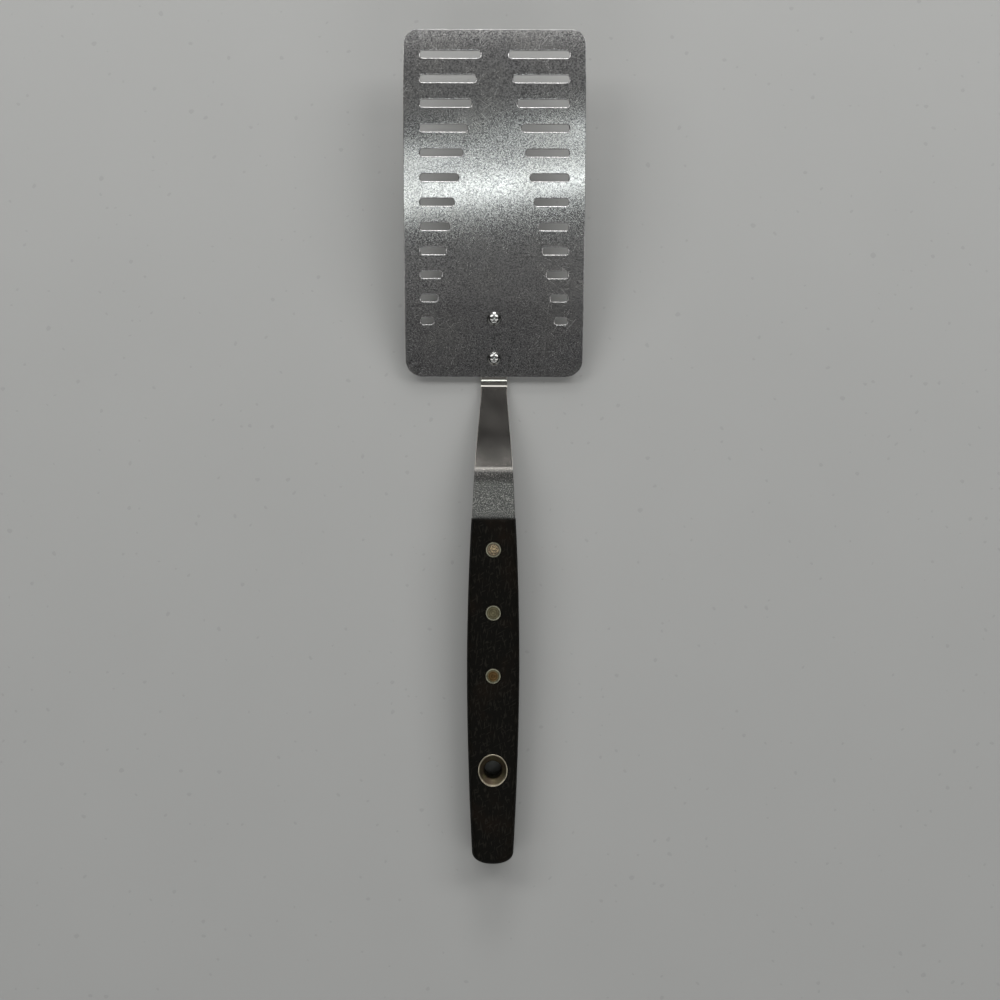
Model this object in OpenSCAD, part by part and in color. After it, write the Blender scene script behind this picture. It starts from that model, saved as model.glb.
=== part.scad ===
// Slotted spatula: a bowed, slotted sheet steel blade riveted to a bent steel shank, whose full
// tang is held between two wooden scales. It lies on a table, slots up, as it would on a worktop.
// Millimetres. X runs across the blade, Y towards its front edge and Z up from the table.
// The origin is on the table, under the middle of the whole spatula.

/* [Blade] */
// Length of the blade along the bent sheet, from the heel edge to the front edge
blade_len = 136.5; // [120:0.5:160]
// Width of the blade
blade_w = 70.2; // [63:0.1:84]
// Thickness of the blade's sheet
blade_t = 1; // [0.6:0.1:1.6]
// Radius of the bow, at the middle of the sheet
bow_r = 215; // [180:5:400]
// Angle between the blade's heel and the tang
blade_rise = 21.2; // [16:0.1:26]
// Radius of the two corners at the front edge
front_corner_r = 5.5; // [3:0.5:12]
// Radius of the two corners at the heel
heel_corner_r = 7; // [3:0.5:12]

/* [Slots] */
// Width of a slot
slot_w = 3.4; // [2.6:0.1:4.2]
// Distance from one row of slots to the next, along the sheet
slot_pitch = 9.4; // [8:0.05:12]
// Length of the slots in the front row
longest_slot = 23.1; // [18:0.1:24]
// Length of the slots in the row next to the heel
shortest_slot = 4.7; // [4.4:0.1:10]
// Distance from the side of the blade to the outer end of a slot
slot_side_margin = 6.45; // [4:0.05:7]
// Distance from the front edge to the middle of the first row
slot_front_margin = 9.7; // [7:0.1:14]
// Least distance from the heel edge to the middle of the last row
slot_heel_margin = 22; // [18:0.5:30]

/* [Shank] */
// Thickness of the strip that is bent into the neck and the tang
strap_t = 2; // [1.5:0.1:3]
// Width of the shank under the blade and at its narrowest
neck_front_w = 10.5; // [8.5:0.1:13]
// Width of the neck at its knee, near the top of the ramp
neck_knee_w = 14.7; // [13:0.1:16]
// Distance from the handle to the knee, seen from above
neck_knee_at = 23.5; // [18:0.5:30]
// Distance from the handle to where the neck is narrowest, seen from above
neck_waist_at = 47.5; // [40:0.5:50]
// Length of the straight neck, from the handle to the upper bend
neck_flat_len = 13.5; // [10:0.1:24]
// Length of the straight ramp between the two bends
ramp_len = 33.5; // [24:0.5:44]
// Angle between the ramp and the tang
ramp_angle = 21.5; // [16:0.5:28]
// Radius of the upper bend, at the middle of the strip
upper_bend_r = 18.5; // [4:0.5:24]
// Radius of the heel bend, at the middle of the strip
heel_bend_r = 7; // [5:0.5:14]
// Distance from the end of the heel bend to the blade's heel edge
heel_setback = 0; // [0:0.1:2]

/* [Blade rivets] */
// Distance from the heel edge to the rear blade rivet
rear_rivet_setback = 7.7; // [5:0.1:9]
// Distance between the two blade rivets
blade_rivet_pitch = 16.5; // [12:0.5:20]
// Length of the shank past the front blade rivet
seat_past_rivet = 4.9; // [4:0.1:9]
// Diameter of a blade rivet's domed head
dome_d = 5.9; // [5:0.1:7]
// Height of a blade rivet's domed head
dome_h = 1.9; // [1.2:0.1:2.4]
// Diameter of a blade rivet's body
blade_rivet_d = 3.2; // [2.4:0.1:4]
// Diameter of a blade rivet's set tail, under the shank
tail_d = 5.2; // [4.6:0.1:6]
// Height of a blade rivet's set tail
tail_h = 1.2; // [0.8:0.1:1.6]

/* [Handle] */
// Length of the handle
handle_len = 136; // [118:1:160]
// Width of the handle at its front end
handle_front_w = 17.4; // [17.2:0.1:20]
// Width of the handle at its widest place
handle_max_w = 20.6; // [20:0.1:26]
// Width of the handle at its rear end, before the rounding
handle_rear_w = 15.8; // [14:0.1:20]
// Distance from the front end to the widest place
handle_widest_at = 59; // [45:1:75]
// Thickness of one scale at its crown
scale_t = 6.8; // [5.6:0.1:8.5]
// Radius of the crown across the handle
crown_r = 27; // [22:1:50]
// Radius that rounds the long edges and the rear end of a scale
scale_edge_r = 4; // [2:0.5:4.5]
// Length of the rounded rear end, seen from above
end_round_len = 5; // [4.7:0.1:8]
// How far the tang's edge lies inside the scales' edge
tang_inset = 0.2; // [0.1:0.05:0.6]

/* [Handle rivets] */
// Distance from the front end of the handle to the first rivet
first_rivet_at = 11.8; // [10:0.1:16]
// Distance from one handle rivet to the next
handle_rivet_pitch = 24.75; // [20:0.25:28]
// Diameter of a handle rivet's head
cutler_head_d = 6.3; // [5.5:0.1:8]
// Thickness of a handle rivet's head, at its middle
cutler_head_t = 2; // [1.4:0.1:2.6]
// Outer diameter of the barrel of a handle rivet's cap
barrel_d = 4.4; // [4:0.1:5]
// Diameter of the post that is pressed into the barrel
post_d = 3; // [2.4:0.1:3.2]
// Length of the gap that is left between the barrel and the post's head
barrel_gap = 0.8; // [0.4:0.1:1.5]

/* [Eyelet] */
// Distance from the front end of the handle to the eyelet
eyelet_at = 98.4; // [90:0.1:105]
// Diameter of the hanging hole
eyelet_bore_d = 6.9; // [5.5:0.1:8]
// Wall of the eyelet's tube
eyelet_wall = 0.6; // [0.4:0.05:0.9]
// Depth of the flare below the crown of the scale
flare_depth = 2.35; // [1.5:0.1:3]
// Angle of the flare from the tube's axis
flare_angle = 45; // [35:1:50]
// How far the flare's lip stands above the wood
lip_proud = 0.15; // [0:0.05:0.3]

/* [Fits] */
// Clearance round a rivet, a barrel or the eyelet in its hole
fit_clear = 0.05; // [0.02:0.01:0.15]

/* [Hidden] */
$fn = 96;
blade_rivet_names = ["blade_rivet_rear", "blade_rivet_front"];
cap_names = ["handle_cap_front", "handle_cap_middle", "handle_cap_rear"];
post_names = ["handle_post_front", "handle_post_middle", "handle_post_rear"];

// How far a cutting shape runs past the surface that it cuts
overrun = slot_w;
// Steps along one side of the handle's outline, round its end, round a scale's edge and round a bend
side_steps = 14;
end_steps = 9;
edge_steps = 6;
bend_steps = 12;
// Powers of the curves that draw the handle's outline, in front of and behind its widest place
front_curve_power = 2;
rear_curve_power = 1.8;
// Power of the rounded end: 2 is an ellipse, and more is squarer
end_curve_power = 2.2;
// The set tail's narrow end, as a share of its diameter
tail_taper_share = 0.82;

steel_colour = [0.66, 0.66, 0.67];
shank_colour = [0.55, 0.55, 0.56];
rivet_colour = [0.8, 0.8, 0.81];
wood_colour = [0.16, 0.13, 0.1];
brass_colour = [0.66, 0.58, 0.42];

// Half the height of the handle, from the middle of the tang to the crown
half_h = strap_t / 2 + scale_t;
// Length of the shank under the blade, which is also where the blade stays flat
seat_len = rear_rivet_setback + blade_rivet_pitch + seat_past_rivet;
// Length of the shank's straight seat, from the heel bend
seat_run = heel_setback + seat_len;
// Angle that the bowed stretch of the blade turns through
bow_angle = (blade_len - seat_len) / bow_r * 180 / PI;
slot_rows = 1 + floor((blade_len - slot_front_margin - slot_heel_margin) / slot_pitch);

// Points of the bent strip, along the tang (y) and square to it (z). Zero is the handle's front
// end and the middle of the tang's thickness.
upper_bend_centre = [0, neck_flat_len, -upper_bend_r];
ramp_start = upper_bend_centre + upper_bend_r * [0, sin(ramp_angle), cos(ramp_angle)];
ramp_end = ramp_start + ramp_len * [0, cos(ramp_angle), -sin(ramp_angle)];
heel_bend_centre = ramp_end + heel_bend_r * [0, sin(ramp_angle), cos(ramp_angle)];
seat_start = heel_bend_centre + heel_bend_r * [0, sin(blade_rise), -cos(blade_rise)];

// The spatula rests on its heel bend and on the rounded rear end of the lower scale. Both are
// arcs, and the tilt brings the lowest points of the two to one height.
heel_arc_r = heel_bend_r + strap_t / 2;
end_arc_centre = [0, -handle_len + scale_edge_r, -half_h + scale_edge_r];
rest_run = heel_bend_centre[1] - end_arc_centre[1];
rest_rise = heel_bend_centre[2] - end_arc_centre[2];
rest_tilt = asin((heel_arc_r - scale_edge_r) / norm([rest_run, rest_rise]))
    - atan2(rest_rise, rest_run);
rest_height = scale_edge_r
    - end_arc_centre[1] * sin(rest_tilt) - end_arc_centre[2] * cos(rest_tilt);

// The blade's front edge, in the tang's directions, and the middle of the whole length
function blade_dir(angle) = [0, cos(angle), sin(angle)];
function blade_up(angle) = [0, -sin(angle), cos(angle)];
sheet_start = seat_start + heel_setback * blade_dir(blade_rise)
    + (strap_t + blade_t) / 2 * blade_up(blade_rise);
bow_centre = sheet_start + seat_len * blade_dir(blade_rise) - bow_r * blade_up(blade_rise);
front_edge = bow_centre + bow_r * blade_up(blade_rise - bow_angle);
front_y = front_edge[1] * cos(rest_tilt) - front_edge[2] * sin(rest_tilt);
rear_y = -handle_len * cos(rest_tilt);
middle_y = (front_y + rear_y) / 2;

// Half the width of the handle at a distance behind its front end
function handle_half_w(at) =
    at < handle_widest_at
        ? handle_max_w / 2 - (handle_max_w - handle_front_w) / 2
            * pow(1 - at / handle_widest_at, front_curve_power)
        : handle_max_w / 2 - (handle_max_w - handle_rear_w) / 2
            * pow((at - handle_widest_at) / (handle_len - handle_widest_at), rear_curve_power);

// Right-hand side of the handle's outline, drawn in by an inset: the long side, then the end
function handle_side(inset) = let (side_len = handle_len - end_round_len) [
    for (i = [0 : side_steps])
        let (at = side_len * i / side_steps)
        [handle_half_w(at) - inset, -at],
    for (i = [1 : end_steps])
        let (
            turn = 90 * (1 - i / end_steps),
            out = handle_half_w(side_len) - inset,
            back = end_round_len - inset
        )
        [out * pow(sin(turn), 2 / end_curve_power),
            -side_len - back * pow(cos(turn), 2 / end_curve_power)]
];

function mirrored(side) = concat(side, [for (i = [len(side) - 2 : -1 : 0]) [-side[i][0], side[i][1]]]);

function slot_row_at(row) = blade_len - slot_front_margin - row * slot_pitch;
function slot_row_len(row) = longest_slot - (longest_slot - shortest_slot) * row / (slot_rows - 1);
function handle_rivet_at(i) = first_rivet_at + i * handle_rivet_pitch;
function blade_rivet_at(i) = rear_rivet_setback + i * blade_rivet_pitch;

// Stands a shape drawn along the tang on the table
module at_rest() {
    translate([0, -middle_y, rest_height]) rotate([rest_tilt, 0, 0]) children();
}

// Carries a shape to the start of the sheet, which lies on the shank's seat
module on_sheet() {
    translate(sheet_start) rotate([blade_rise, 0, 0]) children();
}

// Carries a shape along the sheet, flat first and then round the bow, and stands it square to it
module along_sheet(at) {
    past = max(0, at - seat_len);
    on_sheet()
        translate([0, at - past, -bow_r])
        rotate([-past / bow_r * 180 / PI, 0, 0])
        translate([0, 0, bow_r])
        children();
}

// A bent stretch of strip about the X axis, from straight up and towards +Y
module arch(radius, thick, wide, angle) {
    rotate([0, -90, 0])
        rotate_extrude(angle = angle)
        translate([radius - thick / 2, -wide / 2])
        square([thick, wide]);
}

// What lies outside two rounded corners, whose end is at y = 0 and whose sides are a width apart
module outside_corners(wide, radius) {
    for (side = [0, 1])
        mirror([side, 0])
            translate([wide / 2 - radius, -radius])
            difference() {
                square(radius + overrun);
                circle(radius);
            }
}

// A stretch of the blade's outline that ends at y = 0 with two rounded corners
module blade_end(length, radius) {
    difference() {
        translate([-blade_w / 2, -length]) square([blade_w, length]);
        outside_corners(blade_w, radius);
    }
}

module flat_sheet() {
    on_sheet()
        translate([0, 0, -blade_t / 2])
        linear_extrude(blade_t)
        mirror([0, 1])
        blade_end(seat_len, heel_corner_r);
}

// The bow: a true arc, cut to the blade's outline from above its front edge
module bowed_sheet() {
    run = blade_len - seat_len;
    intersection() {
        on_sheet()
            translate([0, seat_len, -bow_r])
            arch(bow_r, blade_t, blade_w + 2 * overrun, bow_angle + asin(overrun / bow_r));
        along_sheet(blade_len)
            translate([0, 0, -run])
            linear_extrude(run + overrun)
            blade_end(blade_len, front_corner_r);
    }
}

// One slot with round ends, cut square to the sheet
module slot(length) {
    depth = blade_t + 2 * overrun;
    run = length - slot_w;
    translate([-run / 2, -slot_w / 2, -depth / 2]) cube([run, slot_w, depth]);
    for (end = [-1, 1])
        translate([end * run / 2, 0, 0])
            cylinder(h = depth, d = slot_w, center = true);
}

module slots() {
    for (row = [0 : slot_rows - 1]) {
        length = slot_row_len(row);
        along_sheet(slot_row_at(row))
            for (side = [-1, 1])
                translate([side * (blade_w / 2 - slot_side_margin - length / 2), 0, 0])
                slot(length);
    }
}

module blade_rivet_holes() {
    for (i = [0 : len(blade_rivet_names) - 1])
        along_sheet(blade_rivet_at(i))
            cylinder(h = 2 * (blade_t + 2 * strap_t), d = blade_rivet_d + 2 * fit_clear, center = true);
}

module blade() {
    color(steel_colour)
        at_rest()
        difference() {
            union() {
                flat_sheet();
                bowed_sheet();
            }
            slots();
            blade_rivet_holes();
        }
}

// A side of the bent strip, seen from the side, at a height from the middle of its thickness
function strip_side(height) = concat(
    [[-handle_len, height]],
    bend_side(upper_bend_centre, upper_bend_r + height, 0, ramp_angle),
    bend_side(heel_bend_centre, height - heel_bend_r, ramp_angle, -blade_rise),
    [flat_point(seat_start + seat_run * blade_dir(blade_rise) + height * blade_up(blade_rise))]
);

// Points round a bend, from one downward slope to the next
function bend_side(centre, radius, from, to) = [
    for (i = [0 : bend_steps])
        let (slope = from + (to - from) * i / bend_steps)
        flat_point(centre) + radius * [sin(slope), cos(slope)]
];

function flat_point(p) = [p[1], p[2]];

// The strip from the side: tang, upper bend, ramp, heel bend and seat
module bent_strip(wide) {
    top = strip_side(strap_t / 2);
    under = strip_side(-strap_t / 2);
    rotate([90, 0, 90])
        linear_extrude(wide, center = true)
        polygon(concat(top, [for (i = [len(under) - 1 : -1 : 0]) under[i]]));
}

// The strip from above: the neck widens from its waist to the handle, and the tang follows it
module shank_outline() {
    neck = [
        [neck_front_w / 2, seat_start[1] + seat_run],
        [neck_front_w / 2, neck_waist_at],
        [neck_knee_w / 2, neck_knee_at]
    ];
    polygon(mirrored(concat(neck, handle_side(tang_inset))));
}

// What is cut from the corners of the seat, so that it ends half round under the blade
module seat_end_cuts() {
    translate(seat_start)
        rotate([blade_rise, 0, 0])
        translate([0, seat_run, -strap_t])
        linear_extrude(2 * strap_t)
        outside_corners(neck_front_w, neck_front_w / 2);
}

module shank() {
    wide = 2 * handle_max_w;
    tall = 2 * (half_h + norm(seat_start));
    color(shank_colour)
        at_rest()
        difference() {
            intersection() {
                bent_strip(wide);
                translate([0, 0, -tall / 2])
                    linear_extrude(tall)
                    shank_outline();
            }
            seat_end_cuts();
            blade_rivet_holes();
            for (i = [0 : len(cap_names) - 1])
                translate([0, -handle_rivet_at(i), 0])
                    cylinder(h = 2 * strap_t, d = barrel_d + 2 * fit_clear, center = true);
            eyelet_seat();
        }
}

// A domed rivet through blade and shank, its tail set under the shank
module blade_rivet(i) {
    ball_r = (pow(dome_d / 2, 2) + pow(dome_h, 2)) / (2 * dome_h);
    grip = blade_t + strap_t;
    color(rivet_colour)
        at_rest()
        along_sheet(blade_rivet_at(i))
        translate([0, 0, blade_t / 2]) {
            intersection() {
                translate([0, 0, dome_h - ball_r]) sphere(ball_r);
                cylinder(h = dome_h, d = dome_d);
            }
            translate([0, 0, -grip]) cylinder(h = grip, d = blade_rivet_d);
            translate([0, 0, -grip - tail_h])
                cylinder(h = tail_h, d1 = tail_d * tail_taper_share, d2 = tail_d);
        }
}

// The crown of the upper scale: a long round bar whose top is the handle's top
module crown(grow = 0) {
    translate([0, overrun, half_h - crown_r])
        rotate([90, 0, 0])
        cylinder(h = handle_len + 2 * overrun, r = crown_r + grow);
}

// A solid through rings of points, all with as many points, from the lowest ring to the highest
module loft(rings) {
    count = len(rings[0]);
    top = (len(rings) - 1) * count;
    polyhedron(
        points = [for (ring = rings) each ring],
        faces = concat(
            [[for (i = [count - 1 : -1 : 0]) i]],
            [[for (i = [0 : count - 1]) top + i]],
            [for (level = [0 : count : top - 1]) for (i = [0 : count - 1])
                [level + (i + 1) % count, level + (i + 1) % count + count, level + i + count]],
            [for (level = [0 : count : top - 1]) for (i = [0 : count - 1])
                [level + (i + 1) % count, level + i + count, level + i]]
        )
    );
}

function ring_at(inset, z) = [for (p = mirrored(handle_side(inset))) [p[0], p[1], z]];

// A scale before it is crowned: the outline, drawn in step by step to round the edges
module scale_blank() {
    loft(concat(
        [ring_at(0, strap_t / 2)],
        [for (i = [0 : edge_steps])
            let (turn = 90 * i / edge_steps)
            ring_at(scale_edge_r * (1 - cos(turn)), half_h - scale_edge_r * (1 - sin(turn)))]
    ));
}

// Bores of the upper scale: each rivet's barrel with the counterbore for its head
module scale_bores() {
    for (i = [0 : len(cap_names) - 1])
        translate([0, -handle_rivet_at(i), 0]) {
            cylinder(h = half_h + overrun, d = barrel_d + 2 * fit_clear);
            translate([0, 0, half_h - cutler_head_t])
                cylinder(h = cutler_head_t + overrun, d = cutler_head_d + 2 * fit_clear);
        }
    eyelet_seat();
}

module scale_solid() {
    difference() {
        intersection() {
            scale_blank();
            crown();
        }
        scale_bores();
    }
}

module scale_top() {
    color(wood_colour) at_rest() scale_solid();
}

module scale_bottom() {
    color(wood_colour) at_rest() mirror([0, 0, 1]) scale_solid();
}

// A handle rivet's cap: the flush head on the upper side, with the barrel that the post enters
module handle_cap(i) {
    seat_z = half_h - cutler_head_t;
    color(brass_colour)
        at_rest()
        translate([0, -handle_rivet_at(i), 0]) {
            flush_head(-handle_rivet_at(i));
            difference() {
                translate([0, 0, -seat_z + barrel_gap])
                    cylinder(h = 2 * seat_z - barrel_gap, d = barrel_d);
                translate([0, 0, -seat_z])
                    cylinder(h = 2 * seat_z - barrel_gap, d = post_d + 2 * fit_clear);
            }
        }
}

// A handle rivet's post: the same head on the lower side, with a solid stem
module handle_post(i) {
    seat_z = half_h - cutler_head_t;
    color(brass_colour)
        at_rest()
        translate([0, -handle_rivet_at(i), 0])
        mirror([0, 0, 1]) {
            flush_head(-handle_rivet_at(i));
            translate([0, 0, -seat_z + 2 * barrel_gap])
                cylinder(h = 2 * (seat_z - barrel_gap), d = post_d);
        }
}

// A head that is ground flush with the crown of the wood
module flush_head(at) {
    intersection() {
        translate([0, 0, half_h - cutler_head_t])
            cylinder(h = cutler_head_t + overrun, d = cutler_head_d);
        translate([0, -at, 0]) crown();
    }
}

// A round bar with a flare at each end, which is the eyelet's outside or its bore
module flared_bar(radius, start) {
    reach = flare_depth + overrun;
    cylinder(h = 2 * (half_h + overrun), r = radius, center = true);
    for (side = [0, 1])
        mirror([0, 0, side])
            translate([0, 0, start])
            cylinder(h = reach, r1 = radius, r2 = radius + reach * tan(flare_angle));
}

module eyelet_seat() {
    translate([0, -eyelet_at, 0])
        flared_bar(eyelet_bore_d / 2 + eyelet_wall + fit_clear, half_h - flare_depth);
}

// The brass tube of the hanging hole, flared into both scales
module eyelet() {
    outer_r = eyelet_bore_d / 2 + eyelet_wall;
    // The bore's flare starts higher, so that the flared wall keeps the tube's thickness
    rise = (eyelet_wall / cos(flare_angle) - eyelet_wall) / tan(flare_angle);
    color(brass_colour)
        at_rest()
        translate([0, -eyelet_at, 0])
        intersection() {
            difference() {
                flared_bar(outer_r, half_h - flare_depth);
                flared_bar(eyelet_bore_d / 2, half_h - flare_depth + rise);
            }
            translate([0, eyelet_at, 0]) crown(lip_proud);
            translate([0, eyelet_at, 0]) mirror([0, 0, 1]) crown(lip_proud);
        }
}

blade();
shank();
for (i = [0 : len(blade_rivet_names) - 1])
    blade_rivet(i);
scale_top();
scale_bottom();
for (i = [0 : len(cap_names) - 1])
    handle_cap(i);
for (i = [0 : len(cap_names) - 1])
    handle_post(i);
eyelet();
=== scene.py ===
"""Dresses the slotted spatula: a bowed steel blade, a bent shank and a dark wooden handle.

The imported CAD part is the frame. Each sub-assembly below is a class that repeats the part's
sizes in millimetres, builds its own finer meshes from them and gives them their finish.
"""

import logging
import math
from dataclasses import dataclass, field
from enum import Enum
from typing import Any, Callable, Sequence

import bpy
import numpy as np
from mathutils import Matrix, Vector
from mathutils.geometry import delaunay_2d_cdt


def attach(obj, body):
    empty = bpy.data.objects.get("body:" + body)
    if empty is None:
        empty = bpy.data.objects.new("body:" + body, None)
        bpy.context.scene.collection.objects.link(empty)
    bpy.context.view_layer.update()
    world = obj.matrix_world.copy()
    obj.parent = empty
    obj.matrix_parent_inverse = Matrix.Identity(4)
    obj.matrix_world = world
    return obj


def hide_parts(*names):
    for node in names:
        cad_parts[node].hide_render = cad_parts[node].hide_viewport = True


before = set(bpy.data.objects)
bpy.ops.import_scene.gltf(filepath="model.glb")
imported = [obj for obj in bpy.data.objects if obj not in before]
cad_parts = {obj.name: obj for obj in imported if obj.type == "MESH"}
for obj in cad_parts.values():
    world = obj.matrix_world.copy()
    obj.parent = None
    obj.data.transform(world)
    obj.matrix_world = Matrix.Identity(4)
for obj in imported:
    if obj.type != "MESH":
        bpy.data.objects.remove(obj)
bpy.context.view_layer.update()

MM = 0.001
TINY = 1e-12
SAME = 1e-6
ROUNDS = 20
HALVINGS = 30
Array = np.ndarray
Faces = list[Sequence[int]]
Span = tuple[float, float]
Piece = bpy.types.Object
Tree = bpy.types.NodeTree
Node = bpy.types.Node
Socket = bpy.types.NodeSocket
Sources = dict[str, Any] | Sequence[Any]
log = logging.getLogger("spatula")


class Slot(Enum):
    """The material slots of the record."""

    BLADE = "blade_steel"
    SHANK = "shank_steel"
    BLADE_RIVET = "rivet_steel"
    WOOD = "handle_wood"
    HANDLE_RIVET = "rivet_brass"
    EYELET = "eyelet_brass"


class Side(Enum):
    """The two sides of the handle: +1 is the upper one, which faces the camera."""

    TOP = 1
    BOTTOM = -1


# Paths and places


@dataclass(frozen=True)
class Stretch:
    """One stretch of a bent strip, with its length and how many degrees it turns upwards."""

    length: float
    turn: float = 0.0


class BentPath:
    """A line in the Y-Z plane made of straight stretches and true arcs, in millimetres."""

    def __init__(self, start: Span, slope: float, stretches: Sequence[Stretch]) -> None:
        """Works out where each stretch begins.

        Args:
            start: y and z of the path's first point.
            slope: the slope there, in degrees above the Y axis.
            stretches: the stretches in order.
        """
        self.begins: list[tuple[float, float, float, float, float]] = []
        y, z, angle, at = start[0], start[1], math.radians(slope), 0.0
        for stretch in stretches:
            bend = math.radians(stretch.turn) / stretch.length
            self.begins.append((at, y, z, angle, bend))
            at += stretch.length
            (y,), (z,), (angle,) = self.at(np.array([at]))
        self.length = at

    def at(self, along: Array) -> tuple[Array, Array, Array]:
        """Follows the path.

        Args:
            along: distances from the path's start.

        Returns:
            y, z and the slope in radians at each distance.
        """
        starts = np.array(self.begins)
        number = np.searchsorted(starts[:, 0], along, side="right") - 1
        begin, y, z, angle, bend = starts[np.clip(number, 0, len(starts) - 1)].T
        run = along - begin
        straight = np.abs(bend) < TINY
        safe = np.where(straight, 1.0, bend)
        end = angle + bend * run
        out_y = np.where(straight, run * np.cos(angle), (np.sin(end) - np.sin(angle)) / safe)
        out_z = np.where(straight, run * np.sin(angle), (np.cos(angle) - np.cos(end)) / safe)
        return y + out_y, z + out_z, end

    def carry(self, points: Array) -> Array:
        """Bends flat points round the path.

        Args:
            points: rows of x, distance along the path and height above it.

        Returns:
            The same points as rows of x, y and z.
        """
        y, z, slope = self.at(points[:, 1])
        x, height = points[:, 0], points[:, 2]
        return np.column_stack([x, y - height * np.sin(slope), z + height * np.cos(slope)])

    def carry_directions(self, along: Array, directions: Array) -> Array:
        """Turns directions from the flat strip to the bent one.

        Args:
            along: the distance along the path of each direction.
            directions: rows of x, along and height.

        Returns:
            The same directions as rows of x, y and z.
        """
        return pitched(directions, self.at(along)[2])


def pitched(rows: Array, angle: Array | float) -> Array:
    """Turns rows of x, y and z upwards about X by an angle in radians.

    Args:
        rows: the rows.
        angle: one angle, or one for each row.

    Returns:
        The turned rows.
    """
    cos, sin = np.cos(angle), np.sin(angle)
    x, y, z = rows.T
    return np.column_stack([x, y * cos - z * sin, y * sin + z * cos])


@dataclass(frozen=True)
class Rest:
    """How the spatula lies: tilted by an angle about X, lifted, and moved so that it is centred."""

    tilt: float
    lift: float
    middle: float

    def place(self, points: Array) -> Array:
        """Moves points from the tang's directions, in millimetres, to the table, in metres."""
        return (self.turn(points) + (0.0, -self.middle, self.lift)) * MM

    def turn(self, directions: Array) -> Array:
        """Turns directions from the tang's to the table's."""
        return pitched(directions, self.tilt)


# Meshes


def mesh_object(name: str, points: Array, faces: Faces, normals: Array | None = None) -> Piece:
    """Makes a smooth mesh object at the origin.

    Args:
        name: the piece's name.
        points: rows of x, y and z in metres.
        faces: vertex numbers of each face, anticlockwise seen from outside.
        normals: a normal for each vertex, or None to average those of the faces.

    Returns:
        The object, linked to the scene.
    """
    mesh = bpy.data.meshes.new(name)
    mesh.from_pydata(points.tolist(), [], [list(f) for f in faces])
    mesh.validate()
    mesh.polygons.foreach_set("use_smooth", [True] * len(mesh.polygons))
    mesh.update()
    if normals is not None:
        lengths = np.maximum(np.linalg.norm(normals, axis=1, keepdims=True), TINY)
        mesh.normals_split_custom_set_from_vertices((normals / lengths).tolist())
    return linked(name, mesh)


def linked(name: str, data: Any) -> Piece:
    """Makes an object of a mesh, a light or a camera, and links it to the scene.

    Args:
        name: the object's name.
        data: its mesh, light or camera.

    Returns:
        The object.
    """
    made = bpy.data.objects.new(name, data)
    bpy.context.scene.collection.objects.link(made)
    return made


def sharpen(obj: Piece, degrees: float) -> None:
    """Marks the edges sharper than an angle, so that smooth shading stops there."""
    obj.data.set_sharp_from_angle(angle=math.radians(degrees))


def band(upper: Sequence[int], lower: Sequence[int]) -> Faces:
    """The faces between two rings of as many points, the upper or inner ring first."""
    after = [*range(1, len(upper)), 0]
    return [(upper[i], lower[i], lower[j], upper[j]) for i, j in enumerate(after)]


def flipped(faces: Faces) -> Faces:
    """The same faces seen from their other side."""
    return [tuple(reversed(f)) for f in faces]


def spokes(steps: int) -> Array:
    """Directions out from a middle, clockwise, half a step off the X axis."""
    turns = -2 * np.pi * (np.arange(steps) + 0.5) / steps
    return np.column_stack([np.cos(turns), np.sin(turns)])


def arc(centre: Span, radius: float, start: float, end: float, steps: int) -> Array:
    """Points round an arc, both ends included, with its angles in degrees."""
    turns = np.radians(np.linspace(start, end, steps + 1))
    return np.column_stack([centre[0] + radius * np.cos(turns), centre[1] + radius * np.sin(turns)])


@dataclass
class Loop:
    """A closed line of points with the metal on its left, and the direction out of it at each.

    Its roll is the radius of the edge along it, 0 where that is the plate's own.
    """

    points: Array
    outs: Array
    roll: float = 0.0

    def inset(self, amount: float) -> Array:
        """The loop drawn back into the metal by an amount."""
        return self.points - self.outs * amount

    def ring(self, amount: float, height: float) -> Array:
        """The drawn-back loop as rows of x, along and height."""
        flat = self.inset(amount)
        return np.column_stack([flat, np.full(len(flat), height)])


def traced(points: Array, roll: float = 0.0) -> Loop:
    """A loop whose outward directions are read from its own line, which runs anticlockwise.

    Args:
        points: the line's points, in millimetres.
        roll: the radius of the edge along it, 0 where that is the plate's own.

    Returns:
        The loop.
    """
    along = np.roll(points, -1, axis=0) - np.roll(points, 1, axis=0)
    outs = np.column_stack([along[:, 1], -along[:, 0]])
    return Loop(points, outs / np.linalg.norm(outs, axis=1, keepdims=True), roll)


def circle(centre: Span, radius: float, steps: int) -> Loop:
    """A round hole: its loop runs clockwise, so that the metal is on the left."""
    radial = spokes(steps)
    return Loop(np.array(centre) + radial * radius, -radial)


def inside(points: Array, loop: Array) -> Array:
    """Tells which points lie inside a closed line.

    Args:
        points: rows of two coordinates.
        loop: the line's corners in order.

    Returns:
        A true or false for each point.
    """
    x, y = points[:, 0][:, None], points[:, 1][:, None]
    ax, ay = loop[:, 0], loop[:, 1]
    bx, by = np.roll(ax, -1), np.roll(ay, -1)
    crosses = (ay > y) != (by > y)
    reach = ax + (y - ay) / np.where(by == ay, TINY, by - ay) * (bx - ax)
    return (np.sum(crosses & (x < reach), axis=1) % 2).astype(bool)


def within(points: Array, outer: Array, holes: Sequence[Array]) -> Array:
    """Tells which points lie inside an outline and outside its holes.

    Args:
        points: rows of x and y.
        outer: the outline's corners.
        holes: the corners of each hole.

    Returns:
        A true or false for each point.
    """
    keep = inside(points, outer)
    for hole in holes:
        keep &= ~inside(points, hole)
    return keep


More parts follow.
